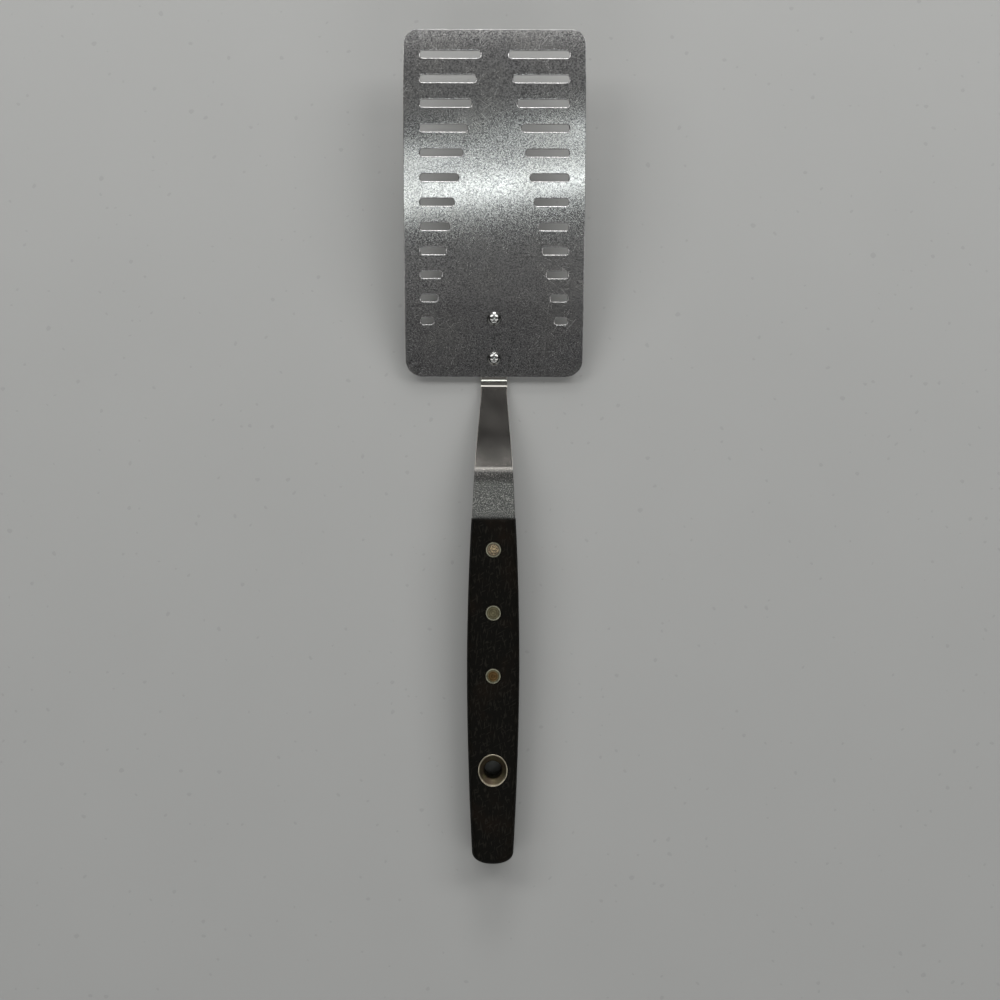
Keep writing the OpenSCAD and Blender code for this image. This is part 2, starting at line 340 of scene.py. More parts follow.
def away_from(points: Array, loops: Sequence[Array], gap: float, batch: int = 400) -> Array:
    """Keeps the points that lie farther than a gap from every loop's corners.

    Args:
        points: rows of x and y.
        loops: the corners of each loop.
        gap: the least distance to a corner.
        batch: how many points are measured at once.

    Returns:
        The points that are kept.
    """
    corners = np.concatenate(loops)
    keep = np.ones(len(points), bool)
    for i in range(0, len(points), batch):
        apart = points[i : i + batch, None, :] - corners[None]
        keep[i : i + batch] = np.min(np.linalg.norm(apart, axis=2), axis=1) > gap
    return points[keep]


def lattice(outer: Array, holes: Sequence[Array], rows: Array, step: float, gap: float) -> Array:
    """Staggered points over an outline, clear of its edge and its holes.

    Args:
        outer: the outline's corners.
        holes: the corners of each hole.
        rows: the y of each row.
        step: the distance between points along a row.
        gap: the least distance to a corner.

    Returns:
        Rows of x and y.
    """
    low, high = outer.min(0), outer.max(0)
    spots = []
    for i, y in enumerate(rows):
        if low[1] < y < high[1]:
            shift = step / 2 if i % 2 else 0.0
            spots += [(x, y) for x in np.arange(low[0] + shift, high[0], step)]
    found = np.array(spots)
    return away_from(found[within(found, outer, holes)], [outer, *holes], gap)


def fill(outer: Array, holes: Sequence[Array], spots: Array) -> tuple[Array, Faces]:
    """Fills a flat outline with triangles, leaving its holes open.

    Args:
        outer: the outline's corners, anticlockwise.
        holes: the corners of each hole.
        spots: extra points that the triangles pass through.

    Returns:
        The points, which begin with the outline's and the holes' in order, and the triangles.
    """
    loops = [outer, *holes]
    points = np.concatenate([*loops, spots]) if len(spots) else np.concatenate(loops)
    edges, start = [], 0
    for loop in loops:
        edges += [(start + i, start + (i + 1) % len(loop)) for i in range(len(loop))]
        start += len(loop)
    flat, _, triangles, source, *_ = delaunay_2d_cdt(
        [Vector(p) for p in points.tolist()], edges, [], 0, SAME, True
    )
    flat = np.array([list(v) for v in flat])
    order = [min(ids) if ids else -1 for ids in source]
    if sorted(order) != list(range(len(points))):
        raise ValueError(f"the outline crosses itself: {len(flat)} points from {len(points)}")
    centres = np.array([flat[list(t)].mean(0) for t in triangles])
    kept = []
    for triangle, wanted in zip(triangles, within(centres, outer, holes)):
        if wanted:
            a, b, c = (order[i] for i in triangle)
            area = np.cross(points[b] - points[a], points[c] - points[a])
            kept.append((a, b, c) if area > 0 else (a, c, b))
    return points, kept


def rolled_plate(
    loops: Sequence[Loop], spots: Array, thick: float, roll: float, steps: int = 4
) -> tuple[Array, Array, Faces]:
    """A flat plate whose edges, those of its holes too, are rolled over.

    Args:
        loops: the outline and then the holes.
        spots: points inside that the two faces pass through.
        thick: the plate's thickness.
        roll: the radius of its edges, but where a loop has its own.
        steps: faces round each edge.

    Returns:
        Points as rows of x, along and height, a normal for each, and the faces.
    """
    rolls = [loop.roll or roll for loop in loops]
    drawn = [loop.inset(own) for loop, own in zip(loops, rolls)]
    flat, triangles = fill(drawn[0], drawn[1:], spots)
    count, half = len(flat), thick / 2
    points = [np.column_stack([flat, np.full(count, side)]) for side in (half, -half)]
    normals = [np.tile([0.0, 0.0, way], (count, 1)) for way in (1.0, -1.0)]
    faces: Faces = [*triangles, *[(c + count, b + count, a + count) for a, b, c in triangles]]
    first, total = 0, 2 * count
    turns = [90 * i / steps for i in range(1, steps + 1)]
    for loop, own in zip(loops, rolls):
        levels = [(t, half) for t in turns] + [(180 - t, -half) for t in reversed(turns[:-1])]
        if thick > 2 * own + SAME:
            levels.insert(len(turns), (90, -half))
        size = len(loop.points)
        top = list(range(first, first + size))
        rings = [top]
        for turn, side in levels:
            angle = math.radians(turn)
            height = side - math.copysign(own, side) * (1 - abs(math.cos(angle)))
            if turn == 90:
                height = math.copysign(half - own, side)
            points.append(loop.ring(own * (1 - math.sin(angle)), height))
            out = loop.outs * math.sin(angle)
            normals.append(np.column_stack([out, np.full(size, math.cos(angle))]))
            rings.append(list(range(total, total + size)))
            total += size
        rings.append([i + count for i in top])
        for upper, lower in zip(rings, rings[1:]):
            faces += band(upper, lower)
        first += size
    return np.concatenate(points), np.concatenate(normals), faces


def bent_plate(
    name: str, path: BentPath, rest: Rest, loops: Sequence[Loop], spots: Array, sizes: Span
) -> Piece:
    """A plate with rolled edges, bent round a path and laid on the table.

    Args:
        name: the piece's name.
        path: the middle line of the plate.
        rest: how the spatula lies.
        loops: the plate's outline and then its holes, laid out flat.
        spots: points inside that the two faces pass through.
        sizes: the plate's thickness and the radius of its edges.

    Returns:
        The piece.
    """
    flat, normals, faces = rolled_plate(loops, spots, *sizes)
    turned = path.carry_directions(flat[:, 1], normals)
    return mesh_object(name, rest.place(path.carry(flat)), faces, rest.turn(turned))


def plate_spots(loops: Sequence[Loop], roll: float, rows: Array, step: float, gap: float) -> Array:
    """Points spread over a plate whose edges are rolled, as `lattice` spreads them."""
    outer, *holes = [loop.inset(loop.roll or roll) for loop in loops]
    return lattice(outer, holes, rows, step, gap)


def lathe(profile: Sequence[Span], steps: int) -> tuple[Array, Faces]:
    """Turns a profile about Z.

    Args:
        profile: radius and height of its points, from the top middle, outside, to the bottom.
        steps: faces round the turn.

    Returns:
        Points as rows of x, y and z, and the faces. The first and last points are the poles.
    """
    turns = 2 * np.pi * np.arange(steps) / steps
    round_z = np.column_stack([np.cos(turns), np.sin(turns)])
    rings = [np.column_stack([r * round_z, np.full(steps, z)]) for r, z in profile[1:-1]]
    points = np.concatenate([[[0, 0, profile[0][1]]], *rings, [[0, 0, profile[-1][1]]]])
    last = len(points) - 1
    numbers = [range(1 + k * steps, 1 + (k + 1) * steps) for k in range(len(rings))]
    faces: Faces = []
    for i in range(steps):
        j = (i + 1) % steps
        faces.append((0, numbers[0][i], numbers[0][j]))
        faces += [(a[i], b[i], b[j], a[j]) for a, b in zip(numbers, numbers[1:])]
        faces.append((numbers[-1][i], last, numbers[-1][j]))
    return points, faces


class Shell:
    """Collects the rings and faces of one closed piece."""

    def __init__(self) -> None:
        """Starts with nothing."""
        self.points: list[Array] = []
        self.faces: Faces = []
        self.total = 0

    def ring(self, points: Array) -> list[int]:
        """Adds points and gives their numbers.

        Args:
            points: rows of x, y and z.

        Returns:
            The numbers.
        """
        self.points.append(points)
        self.total += len(points)
        return list(range(self.total - len(points), self.total))

    def bridge(self, *rings: list[int]) -> None:
        """Joins each ring to the next. Seen from above, the upper or inner ring comes first."""
        for upper, lower in zip(rings, rings[1:]):
            self.faces += band(upper, lower)

    def mirrored(self) -> "Shell":
        """The same piece turned upside down about the tang's middle.

        Returns:
            The other piece.
        """
        other = Shell()
        other.points = [p * (1, 1, -1) for p in self.points]
        other.faces, other.total = flipped(self.faces), self.total
        return other

    def build(self, name: str, rest: Rest) -> Piece:
        """Makes the piece at its place on the table."""
        return mesh_object(name, rest.place(np.concatenate(self.points)), self.faces)


# Nodes

MATH = "ShaderNodeMath"
VECTOR = "ShaderNodeVectorMath"
NOISE = "ShaderNodeTexNoise"
RANGE = "ShaderNodeMapRange"
MIX = "ShaderNodeMix"
BUMP = "ShaderNodeBump"
SURFACE = "ShaderNodeBsdfPrincipled"
STORE = "GeometryNodeStoreNamedAttribute"


def put(tree: Tree, kind: str, sources: Sources = (), **settings: Any) -> Node:
    """Adds a node with its settings and what feeds it.

    Args:
        tree: the node tree.
        kind: the node's type.
        sources: a value, an output or a node for each input, by the inputs' names or in order.
        settings: the node's own settings.

    Returns:
        The node.
    """
    node = tree.nodes.new(kind)
    for name, value in settings.items():
        setattr(node, name, value)
    fed = sources if isinstance(sources, dict) else dict(enumerate(sources))
    for key, value in fed.items():
        named = (s for s in node.inputs if s.enabled and s.name == key)
        socket = next(named) if isinstance(key, str) else node.inputs[key]
        source = result(value) if isinstance(value, Node) else value
        if isinstance(source, Socket):
            tree.links.new(source, socket)
        else:
            socket.default_value = source
    return node


def result(node: Node) -> Socket:
    """The first output of a node that is in use."""
    return next(s for s in node.outputs if s.enabled)


def colour(code: str) -> tuple[float, float, float, float]:
    """Turns an sRGB hex colour to linear light.

    Args:
        code: the colour, as a # and six digits.

    Returns:
        Red, green, blue and 1.
    """
    parts = [int(code[i : i + 2], 16) / 255 for i in (1, 3, 5)]
    linear = [c / 12.92 if c <= 0.04045 else ((c + 0.055) / 1.055) ** 2.4 for c in parts]
    return (linear[0], linear[1], linear[2], 1.0)


def per(length_mm: float) -> float:
    """How many of a length in millimetres go into a metre, for a pattern's scale."""
    return 1000 / length_mm


class Finish:
    """What a piece is made of and how its surface was made."""

    name = "finish"

    def material(self) -> bpy.types.Material:
        """The finish's material, built the first time that it is asked for.

        Returns:
            The material.
        """
        made = bpy.data.materials.get(self.name)
        if made is None:
            made = bpy.data.materials.new(self.name)
            made.use_nodes = True
            made.node_tree.nodes.clear()
            shader = self.build(made.node_tree)
            put(made.node_tree, "ShaderNodeOutputMaterial", {"Surface": shader})
        return made

    def build(self, tree: Tree) -> Node:
        """Builds the nodes and gives the shader that they end in."""
        raise NotImplementedError

    def dress(self, obj: Piece) -> None:
        """Gives a piece this finish all over."""
        obj.data.materials.clear()
        obj.data.materials.append(self.material())


@dataclass(frozen=True)
class ScratchSet:
    """Scratches that run one way: their angle, real length and width in mm, and how few there are."""

    angle: float
    length: float
    width: float
    rarity: float
    seed: float
    soft: float = 0.06


def scratch_field(tree: Tree, place: Node | Socket, sets: Sequence[ScratchSet]) -> Node:
    """Draws scratches: 1 in a scratch and 0 beside it.

    Args:
        tree: the material's tree.
        place: the coordinates, in metres.
        sets: the sets of scratches that are laid over each other.

    Returns:
        The node with the drawing.
    """
    drawn = None
    for item in sets:
        shift = (item.seed, item.seed / 3, 0)
        turn = (0, 0, math.radians(item.angle))
        turned = put(tree, "ShaderNodeMapping", {"Vector": place, "Location": shift, "Rotation": turn})
        size = (per(item.width * 2), per(item.length), 0.0)
        scaled = put(tree, VECTOR, [turned, size], operation="MULTIPLY")
        plain = {"Vector": scaled, "Scale": 1.0, "Detail": 0.0}
        noise = put(tree, NOISE, plain, noise_dimensions="2D")
        span = (item.rarity, item.rarity + item.soft)
        cut = put(tree, RANGE, [noise, *span], interpolation_type="SMOOTHSTEP")
        drawn = put(tree, MATH, [drawn, cut], operation="MAXIMUM") if drawn else cut
    return drawn


@dataclass(frozen=True)
class BrushedSteel(Finish):
    """Stainless sheet, rolled bright and belt-brushed along the blade, then scratched in use.

    It gives the eye a fairly sharp but grainy reflection, with fine light streaks along the blade
    and thin scratches of every direction that stay light where the sheet reflects something dark.
    """

    name: str = "brushed stainless sheet"
    tint: str = "#CDCDCE"
    stain: str = "#BDBBB6"
    dirt: str = "#7E7E80"
    dirt_span: Span = (0.56, 0.34)
    roughness: float = 0.115
    uneven: Span = (0.85, 1.25)
    speck_roughness: float = 0.04
    worn_roughness: float = 0.34
    blotch_size: float = 18.0
    blotch_span: Span = (0.3, 0.7)
    speck_size: float = 0.6
    brush_width: float = 0.35
    brush_length: float = 18.0
    brush_depth: float = 0.0012
    sway_size: float = 26.0
    sway: tuple[float, float, float] = (0.006, 0.006, 0.0)
    scratch_depth: float = 0.0015
    scratch_strength: float = 0.65
    web_strength: float = 0.36
    glint_span: Span = (0.52, 0.72)
    glint_strength: float = 0.4
    scratches: tuple[ScratchSet, ...] = (
        ScratchSet(28, 12, 0.10, 0.81, 1.3),
        ScratchSet(-37, 9, 0.10, 0.81, 2.1),
        ScratchSet(63, 10, 0.10, 0.81, 3.7),
        ScratchSet(-71, 8, 0.10, 0.81, 4.9),
        ScratchSet(4, 14, 0.11, 0.81, 5.3),
        ScratchSet(88, 6, 0.10, 0.81, 6.1),
        ScratchSet(-52, 30, 0.15, 0.82, 7.9),
        ScratchSet(40, 26, 0.15, 0.82, 8.2),
    )
    web: tuple[ScratchSet, ...] = (
        ScratchSet(12, 2.1, 0.16, 0.61, 21.3),
        ScratchSet(-31, 2.1, 0.16, 0.61, 22.1),
        ScratchSet(52, 2.1, 0.16, 0.61, 23.9),
        ScratchSet(-64, 2.1, 0.16, 0.61, 24.7),
        ScratchSet(86, 2.1, 0.16, 0.61, 25.3),
    )

    def build(self, tree: Tree) -> Node:
        """Layers the brushing, the scratches, the glints and the faint stains.

        Args:
            tree: the material's tree, which is empty.

        Returns:
            The node of the shader.
        """
        place = put(tree, "ShaderNodeTexCoord").outputs["Object"]
        slow = put(tree, NOISE, {"Vector": place, "Scale": per(self.sway_size), "Detail": 1.0})
        pushed = [slow.outputs["Color"], self.sway, place]
        swayed = put(tree, VECTOR, pushed, operation="MULTIPLY_ADD")
        marks = scratch_field(tree, swayed, self.scratches)
        web = scratch_field(tree, swayed, self.web)
        brush = (per(self.brush_width), per(self.brush_length), 0.0)
        drawn_out = put(tree, VECTOR, [place, brush], operation="MULTIPLY")
        streaks = {"Vector": drawn_out, "Scale": 1.0, "Detail": 2.0}
        grain = put(tree, NOISE, streaks, noise_dimensions="2D")
        clouds = {"Scale": per(self.blotch_size), "Detail": 4.0, "Roughness": 0.6}
        blotch = put(tree, NOISE, {"Vector": place, **clouds})
        specks = {"Scale": per(self.speck_size), "Detail": 3.0, "Roughness": 0.7}
        speck = put(tree, NOISE, {"Vector": place, **specks})

        stained = {"Factor": blotch, "A": colour(self.tint), "B": colour(self.stain)}
        clean = put(tree, MIX, stained, data_type="RGBA")
        held = put(tree, RANGE, [speck, *self.dirt_span])
        dirty = {"Factor": held, "A": clean, "B": colour(self.dirt)}
        tone = put(tree, MIX, dirty, data_type="RGBA")
        ends = [self.roughness * share for share in self.uneven]
        base = put(tree, RANGE, [blotch, *self.blotch_span, *ends])
        polish = put(tree, MATH, [speck, self.speck_roughness, base], operation="MULTIPLY_ADD")
        fine = put(tree, MATH, [web, self.web_strength], operation="MULTIPLY")
        long = put(tree, MATH, [marks, self.scratch_strength], operation="MULTIPLY")
        scored = put(tree, MATH, [fine, long], operation="MAXIMUM")
        glint = put(tree, RANGE, [speck, *self.glint_span, 0.0, self.glint_strength])
        worn = put(tree, MATH, [scored, glint], operation="MAXIMUM")
        rubbed = {"Factor": worn, "A": polish, "B": self.worn_roughness}
        rough = put(tree, MIX, rubbed, data_type="FLOAT")

        brushed = put(tree, BUMP, {"Height": grain, "Distance": self.brush_depth * MM})
        cut = {"Height": worn, "Distance": self.scratch_depth * MM, "Normal": brushed}
        relief = put(tree, BUMP, cut, invert=True)
        look = {"Base Color": tone, "Metallic": 1.0, "Roughness": rough, "Normal": relief}
        return put(tree, SURFACE, look)


@dataclass(frozen=True)
class SatinSteel(Finish):
    """Stainless strip, ground and polished, with a grainy wear where it meets the handle.

    It gives the eye a cleaner and sharper reflection than the blade, dark where the strip turns
    to the dark side of the room, and a fine silvery speckle near the handle. Near the handle its colour
    is also darker, partly from the wear and partly as painted shade for a darker reflection. The places
    where the wear and that painted shade begin and end are in mm along Y.
    """

    name: str = "satin stainless strip"
    tint: str = "#C5C1BA"
    # partly worn steel, partly painted shade: a darker colour near the handle that stands in for a
    # darker reflection
    dull: str = "#525250"
    speck: str = "#D8D3CE"
    speck_span: Span = (0.5, 0.72)
    speck_strength: float = 0.8
    roughness: float = 0.095
    rough_spread: float = 0.06
    dull_roughness: float = 0.30
    blotch_size: float = 9.0
    grain_size: float = 0.4
    grain_depth: float = 0.007
    rubbed_from: float = 10.0
    # where the wear and its painted shade begin and end along Y
    wear_and_shade_from: float = -4.6
    wear_and_shade_to: float = -8.0
    least_wear_and_shade: float = 0.06
    bend_worn: float = 0.28
    scratches: tuple[ScratchSet, ...] = (
        ScratchSet(20, 5, 0.2, 0.71, 11.3),
        ScratchSet(-48, 4, 0.2, 0.71, 12.1),
        ScratchSet(75, 4, 0.2, 0.71, 13.7),
    )

    def build(self, tree: Tree) -> Node:
        """Layers the speckle and the scratches, both stronger near the handle.

        Args:
            tree: the material's tree, which is empty.

        Returns:
            The node of the shader.
        """
        place = put(tree, "ShaderNodeTexCoord").outputs["Object"]
        along = put(tree, "ShaderNodeSeparateXYZ", [place]).outputs["Y"]
        rubbed_from, wear_and_shade_from, wear_and_shade_to = (
            at * MM for at in (self.rubbed_from, self.wear_and_shade_from, self.wear_and_shade_to)
        )
        # the wear near the handle; on the colour it also paints shade that darkens the strip's
        # reflection there
        worn = put(tree, RANGE, [along, wear_and_shade_from, wear_and_shade_to, self.least_wear_and_shade, 1.0])
        bend = put(tree, RANGE, [along, rubbed_from, wear_and_shade_from, 0.0, self.bend_worn])
        used = put(tree, MATH, [worn, bend], operation="MAXIMUM")
        marks = scratch_field(tree, place, self.scratches)
        grit = {"Scale": per(self.grain_size), "Detail": 3.0, "Roughness": 0.7}
        fine = put(tree, NOISE, {"Vector": place, **grit})
        blotch = put(tree, NOISE, {"Vector": place, "Scale": per(self.blotch_size), "Detail": 3.0})
        both = put(tree, MATH, [fine, marks], operation="SUBTRACT")
        height = put(tree, MATH, [both, used], operation="MULTIPLY")
        # painted shade: the colour near the handle is darkened, partly for real wear, partly for a
        # darker reflection
        wear_and_painted_shade = {"Factor": worn, "A": colour(self.tint), "B": colour(self.dull)}
        dulled = put(tree, MIX, wear_and_painted_shade, data_type="RGBA")
        rubbed = put(tree, RANGE, [fine, *self.speck_span, 0.0, self.speck_strength])
        shown = put(tree, MATH, [rubbed, used], operation="MULTIPLY")
        specked = {"Factor": shown, "A": dulled, "B": colour(self.speck)}
        tone = put(tree, MIX, specked, data_type="RGBA")
        rise, least = self.dull_roughness - self.roughness, self.roughness - self.rough_spread / 2
        rough_worn = put(tree, MATH, [used, rise, least], operation="MULTIPLY_ADD")
        uneven = [blotch, self.rough_spread, rough_worn]
        rough = put(tree, MATH, uneven, operation="MULTIPLY_ADD")
        relief = put(tree, BUMP, {"Height": height, "Distance": self.grain_depth * MM})
        look = {"Base Color": tone, "Metallic": 1.0, "Roughness": rough, "Normal": relief}
        return put(tree, SURFACE, look)


@dataclass(frozen=True)
class PolishedSteel(Finish):
    """Cold-headed stainless rivets, polished by the header's die and a little pitted since.

    It gives the eye small bright domes that show the lights as bands.
    """

    name: str = "polished stainless rivet"
    tint: str = "#A0A09E"
    least_roughness: float = 0.15
    pit_roughness: float = 0.12
    pit_size: float = 0.5
    pit_depth: float = 0.0008

    def build(self, tree: Tree) -> Node:
        """Adds shallow pits and a slightly uneven polish.

        Args:
            tree: the material's tree, which is empty.

        Returns:
            The node of the shader.
        """
        place = put(tree, "ShaderNodeTexCoord").outputs["Object"]
        pits = put(tree, NOISE, {"Vector": place, "Scale": per(self.pit_size), "Detail": 3.0})
        uneven = [pits, self.pit_roughness, self.least_roughness]
        rough = put(tree, MATH, uneven, operation="MULTIPLY_ADD")
        dented = put(tree, BUMP, {"Height": pits, "Distance": self.pit_depth * MM})
        tone = colour(self.tint)
        look = {"Base Color": tone, "Metallic": 1.0, "Roughness": rough, "Normal": dented}
        return put(tree, SURFACE, look)


@dataclass(frozen=True)
class StainedHardwood(Finish):
    """Close-grained hardwood, stained almost black, sanded smooth, and dried by washing up.

    It gives the eye a nearly black brown with a faint dull sheen, fine open pores and light
    hair-like dents along the grain, and warmer wood where hands have rubbed the stain away.
    """

    name: str = "stained hardwood"
    dark: str = "#0A0906"
    warm: str = "#1D140C"
    warm_span: Span = (0.5, 0.75)
    warm_size: float = 14.0
    dusty: str = "#24221D"
    dust_strength: float = 0.6
    roughness: float = 0.55
    rough_spread: float = 0.18
    ior: float = 1.45
    shine: float = 0.08
    pore_width: float = 0.28
    pore_length: float = 5.0
    pore_span: Span = (0.56, 0.68)
    pore_depth: float = 0.05
    pore_strength: float = 0.6
    grain_width: float = 1.6
    grain_length: float = 40.0
    sway_size: float = 45.0
    sway: tuple[float, float, float] = (0.004, 0.0, 0.004)
    dents: tuple[ScratchSet, ...] = (
        ScratchSet(7, 4, 0.3, 0.72, 21.0),
        ScratchSet(-12, 3, 0.3, 0.73, 22.0),
        ScratchSet(60, 3, 0.3, 0.75, 23.0),
    )

    def build(self, tree: Tree) -> Node:
        """Layers the grain, the pores, the worn places and the dull dents.

        Args:
            tree: the material's tree, which is empty.

        Returns:
            The node of the shader.
        """
        place = put(tree, "ShaderNodeTexCoord").outputs["Object"]
        slow = put(tree, NOISE, {"Vector": place, "Scale": per(self.sway_size), "Detail": 1.0})
        pushed = [slow.outputs["Color"], self.sway, place]
        swayed = put(tree, VECTOR, pushed, operation="MULTIPLY_ADD")
        pore_size = (per(self.pore_width), per(self.pore_length), per(self.pore_width))
        pore_place = put(tree, VECTOR, [swayed, pore_size], operation="MULTIPLY")
        open_grain = {"Vector": pore_place, "Scale": 1.0, "Detail": 2.0, "Roughness": 0.6}
        pores = put(tree, RANGE, [put(tree, NOISE, open_grain), *self.pore_span])
        grain_size = (per(self.grain_width), per(self.grain_length), per(self.grain_width))
        grain_place = put(tree, VECTOR, [swayed, grain_size], operation="MULTIPLY")
        rings = {"Vector": grain_place, "Scale": 1.0, "Detail": 4.0, "Roughness": 0.65}
        grain = put(tree, NOISE, rings)
        rubbed = put(tree, NOISE, {"Vector": place, "Scale": per(self.warm_size), "Detail": 3.0})
        dents = scratch_field(tree, place, self.dents)

        warmth = put(tree, RANGE, [rubbed, *self.warm_span])
        streak = put(tree, MATH, [warmth, grain], operation="MULTIPLY")
        stained = {"Factor": streak, "A": colour(self.dark), "B": colour(self.warm)}
        base = put(tree, MIX, stained, data_type="RGBA")
        dust = put(tree, MATH, [dents, self.dust_strength], operation="MULTIPLY")
        dulled = {"Factor": dust, "A": base, "B": colour(self.dusty)}
        tone = put(tree, MIX, dulled, data_type="RGBA")
        uneven = [grain, self.rough_spread, self.roughness - self.rough_spread / 2]
        rough = put(tree, MATH, uneven, operation="MULTIPLY_ADD")
        sunk = put(tree, MATH, [pores, dents], operation="MAXIMUM")
        depth = {"Strength": self.pore_strength, "Distance": self.pore_depth * MM}
        relief = put(tree, BUMP, {"Height": sunk, **depth}, invert=True)
        gloss = {"Roughness": rough, "IOR": self.ior, "Specular IOR Level": self.shine}
        return put(tree, SURFACE, {"Base Color": tone, **gloss, "Normal": relief})


@dataclass(frozen=True)
class GroundBrass(Finish):
    """Brass rivet heads, ground flush with the wood and dulled since.

    It gives the eye a matt olive-grey disc with faint rings from the grinding, a paler rim and a
    painted shadow in the seam round its edge. Each head has its own tarnish: the rivets carry their
    number and their own radius, and the radii at which core, rim and painted seam shadow begin and end
    are in mm.
    """

    name: str = "ground brass rivet"
    fresh: str = "#786B5B"
    dull: str = "#69634D"
    coppery: str = "#614B2F"
    rim: str = "#8F8D7B"
    # painted shadow: a dark ring on the head's outer edge, where shade falls into the seam with the
    # wood
    painted_seam_shadow: str = "#17130E"
    mark: str = "#C9B48E"
    core_radii: Span = (2.2, 1.7)
    rim_radii: Span = (2.3, 2.6)
    painted_seam_shadow_radii: Span = (2.86, 2.98)
    roughness: float = 0.42
    rough_spread: float = 0.2
    blotch_size: float = 1.6
    blotch_span: Span = (0.35, 0.65)
    blotch_shade: Span = (0.55, 1.2)
    ring_pitch: float = 0.85
    ring_shade: Span = (0.72, 1.1)
    ring_share: float = 0.35
    relief_depth: float = 0.012
    marks: tuple[ScratchSet, ...] = (
        ScratchSet(33, 1.6, 0.14, 0.63, 31.0),
        ScratchSet(-58, 1.4, 0.14, 0.64, 32.0),
    )

    def build(self, tree: Tree) -> Node:
        """Layers the tarnish of each head, the rings and the rim.

        Args:
            tree: the material's tree, which is empty.

        Returns:
            The node of the shader.
        """
        number = put(tree, "ShaderNodeAttribute", attribute_name="rivet_number").outputs["Fac"]
        local = put(tree, "ShaderNodeAttribute", attribute_name="rivet_place").outputs["Vector"]
        flat = put(tree, VECTOR, [local, (1.0, 1.0, 0.0)], operation="MULTIPLY")
        out = put(tree, VECTOR, [flat], operation="LENGTH")
        place = put(tree, "ShaderNodeTexCoord").outputs["Object"]
        clouds = {"Scale": per(self.blotch_size), "Detail": 4.0, "Roughness": 0.65}
        blotch = put(tree, NOISE, {"Vector": place, **clouds})
        marks = scratch_field(tree, place, self.marks)
        # the last of these masks, gap, is the painted seam shadow at the head's outer edge
        core, edge, gap = (
            put(tree, RANGE, [out, radii[0] * MM, radii[1] * MM])
            for radii in (self.core_radii, self.rim_radii, self.painted_seam_shadow_radii)
        )
        waves = put(tree, MATH, [out, 2 * math.pi * per(self.ring_pitch)], operation="MULTIPLY")
        rings = put(tree, MATH, [waves], operation="SINE")

        first = put(tree, MATH, [number, 0.5], operation="LESS_THAN")
        last = put(tree, MATH, [number, 1.5], operation="GREATER_THAN")
        copper = put(tree, MATH, [core, last], operation="MULTIPLY")
        worked = put(tree, MATH, [marks, first], operation="MULTIPLY")
        bright = put(tree, MATH, [worked, core], operation="MULTIPLY")
        shade = put(tree, RANGE, [blotch, *self.blotch_span, *self.blotch_shade])
        ringed = put(tree, RANGE, [rings, -1.0, 1.0, *self.ring_shade])
        layers = (
            (first, colour(self.fresh), "MIX"),
            (copper, colour(self.coppery), "MIX"),
            (edge, colour(self.rim), "MIX"),
            (1.0, shade, "MULTIPLY"),
            (1.0, ringed, "MULTIPLY"),
            (bright, colour(self.mark), "MIX"),
            # painted shadow in the seam round the head
            (gap, colour(self.painted_seam_shadow), "MIX"),
        )
        tone: Any = colour(self.dull)
        for share, over, blend in layers:
            mixed = {"Factor": share, "A": tone, "B": over}
            tone = put(tree, MIX, mixed, data_type="RGBA", blend_type=blend)
        height = put(tree, MATH, [rings, self.ring_share, blotch], operation="MULTIPLY_ADD")
        relief = put(tree, BUMP, {"Height": height, "Distance": self.relief_depth * MM})
        uneven = [blotch, self.rough_spread, self.roughness - self.rough_spread / 2]
        rough = put(tree, MATH, uneven, operation="MULTIPLY_ADD")
        look = {"Base Color": tone, "Metallic": 1.0, "Roughness": rough, "Normal": relief}
        return put(tree, SURFACE, look)


@dataclass(frozen=True)
class TarnishedBrass(Finish):
    """Spun brass eyelet: dark olive tarnish in the cone, rubbed bright on the rolled lip.

    It gives the eye a thin bright ring round a brown cone. The lip is told from the cone by how
    rubbed the brass is, which the eyelet's own attribute carries.
    """

    name: str = "tarnished brass eyelet"
    dark: str = "#3E3328"
    olive: str = "#48442D"
    olive_span: Span = (0.4, 0.65)
    lip: str = "#B5AC98"
    roughness: float = 0.44
    lip_roughness: float = 0.24
    spot_roughness: float = 0.14
    blotch_size: float = 2.5
    spot_size: float = 0.5
    spot_depth: float = 0.01

    def build(self, tree: Tree) -> Node:
        """Layers the tarnish and the rubbed lip.

        Args:
            tree: the material's tree, which is empty.

        Returns:
            The node of the shader.
        """
        rubbed = put(tree, "ShaderNodeAttribute", attribute_name="rubbed").outputs["Fac"]
        place = put(tree, "ShaderNodeTexCoord").outputs["Object"]
        clouds = {"Scale": per(self.blotch_size), "Detail": 4.0, "Roughness": 0.6}
        blotch = put(tree, NOISE, {"Vector": place, **clouds})
        spots = put(tree, NOISE, {"Vector": place, "Scale": per(self.spot_size), "Detail": 2.0})
        mixed = put(tree, RANGE, [blotch, *self.olive_span])
        tarnish = {"Factor": mixed, "A": colour(self.dark), "B": colour(self.olive)}
        cone = put(tree, MIX, tarnish, data_type="RGBA")
        bared = {"Factor": rubbed, "A": cone, "B": colour(self.lip)}
        tone = put(tree, MIX, bared, data_type="RGBA")
        smooth = put(tree, RANGE, [rubbed, 0.0, 1.0, self.roughness, self.lip_roughness])
        rough = put(tree, MATH, [spots, self.spot_roughness, smooth], operation="MULTIPLY_ADD")
        relief = put(tree, BUMP, {"Height": spots, "Distance": self.spot_depth * MM})
        look = {"Base Color": tone, "Metallic": 1.0, "Roughness": rough, "Normal": relief}
        return put(tree, SURFACE, look)


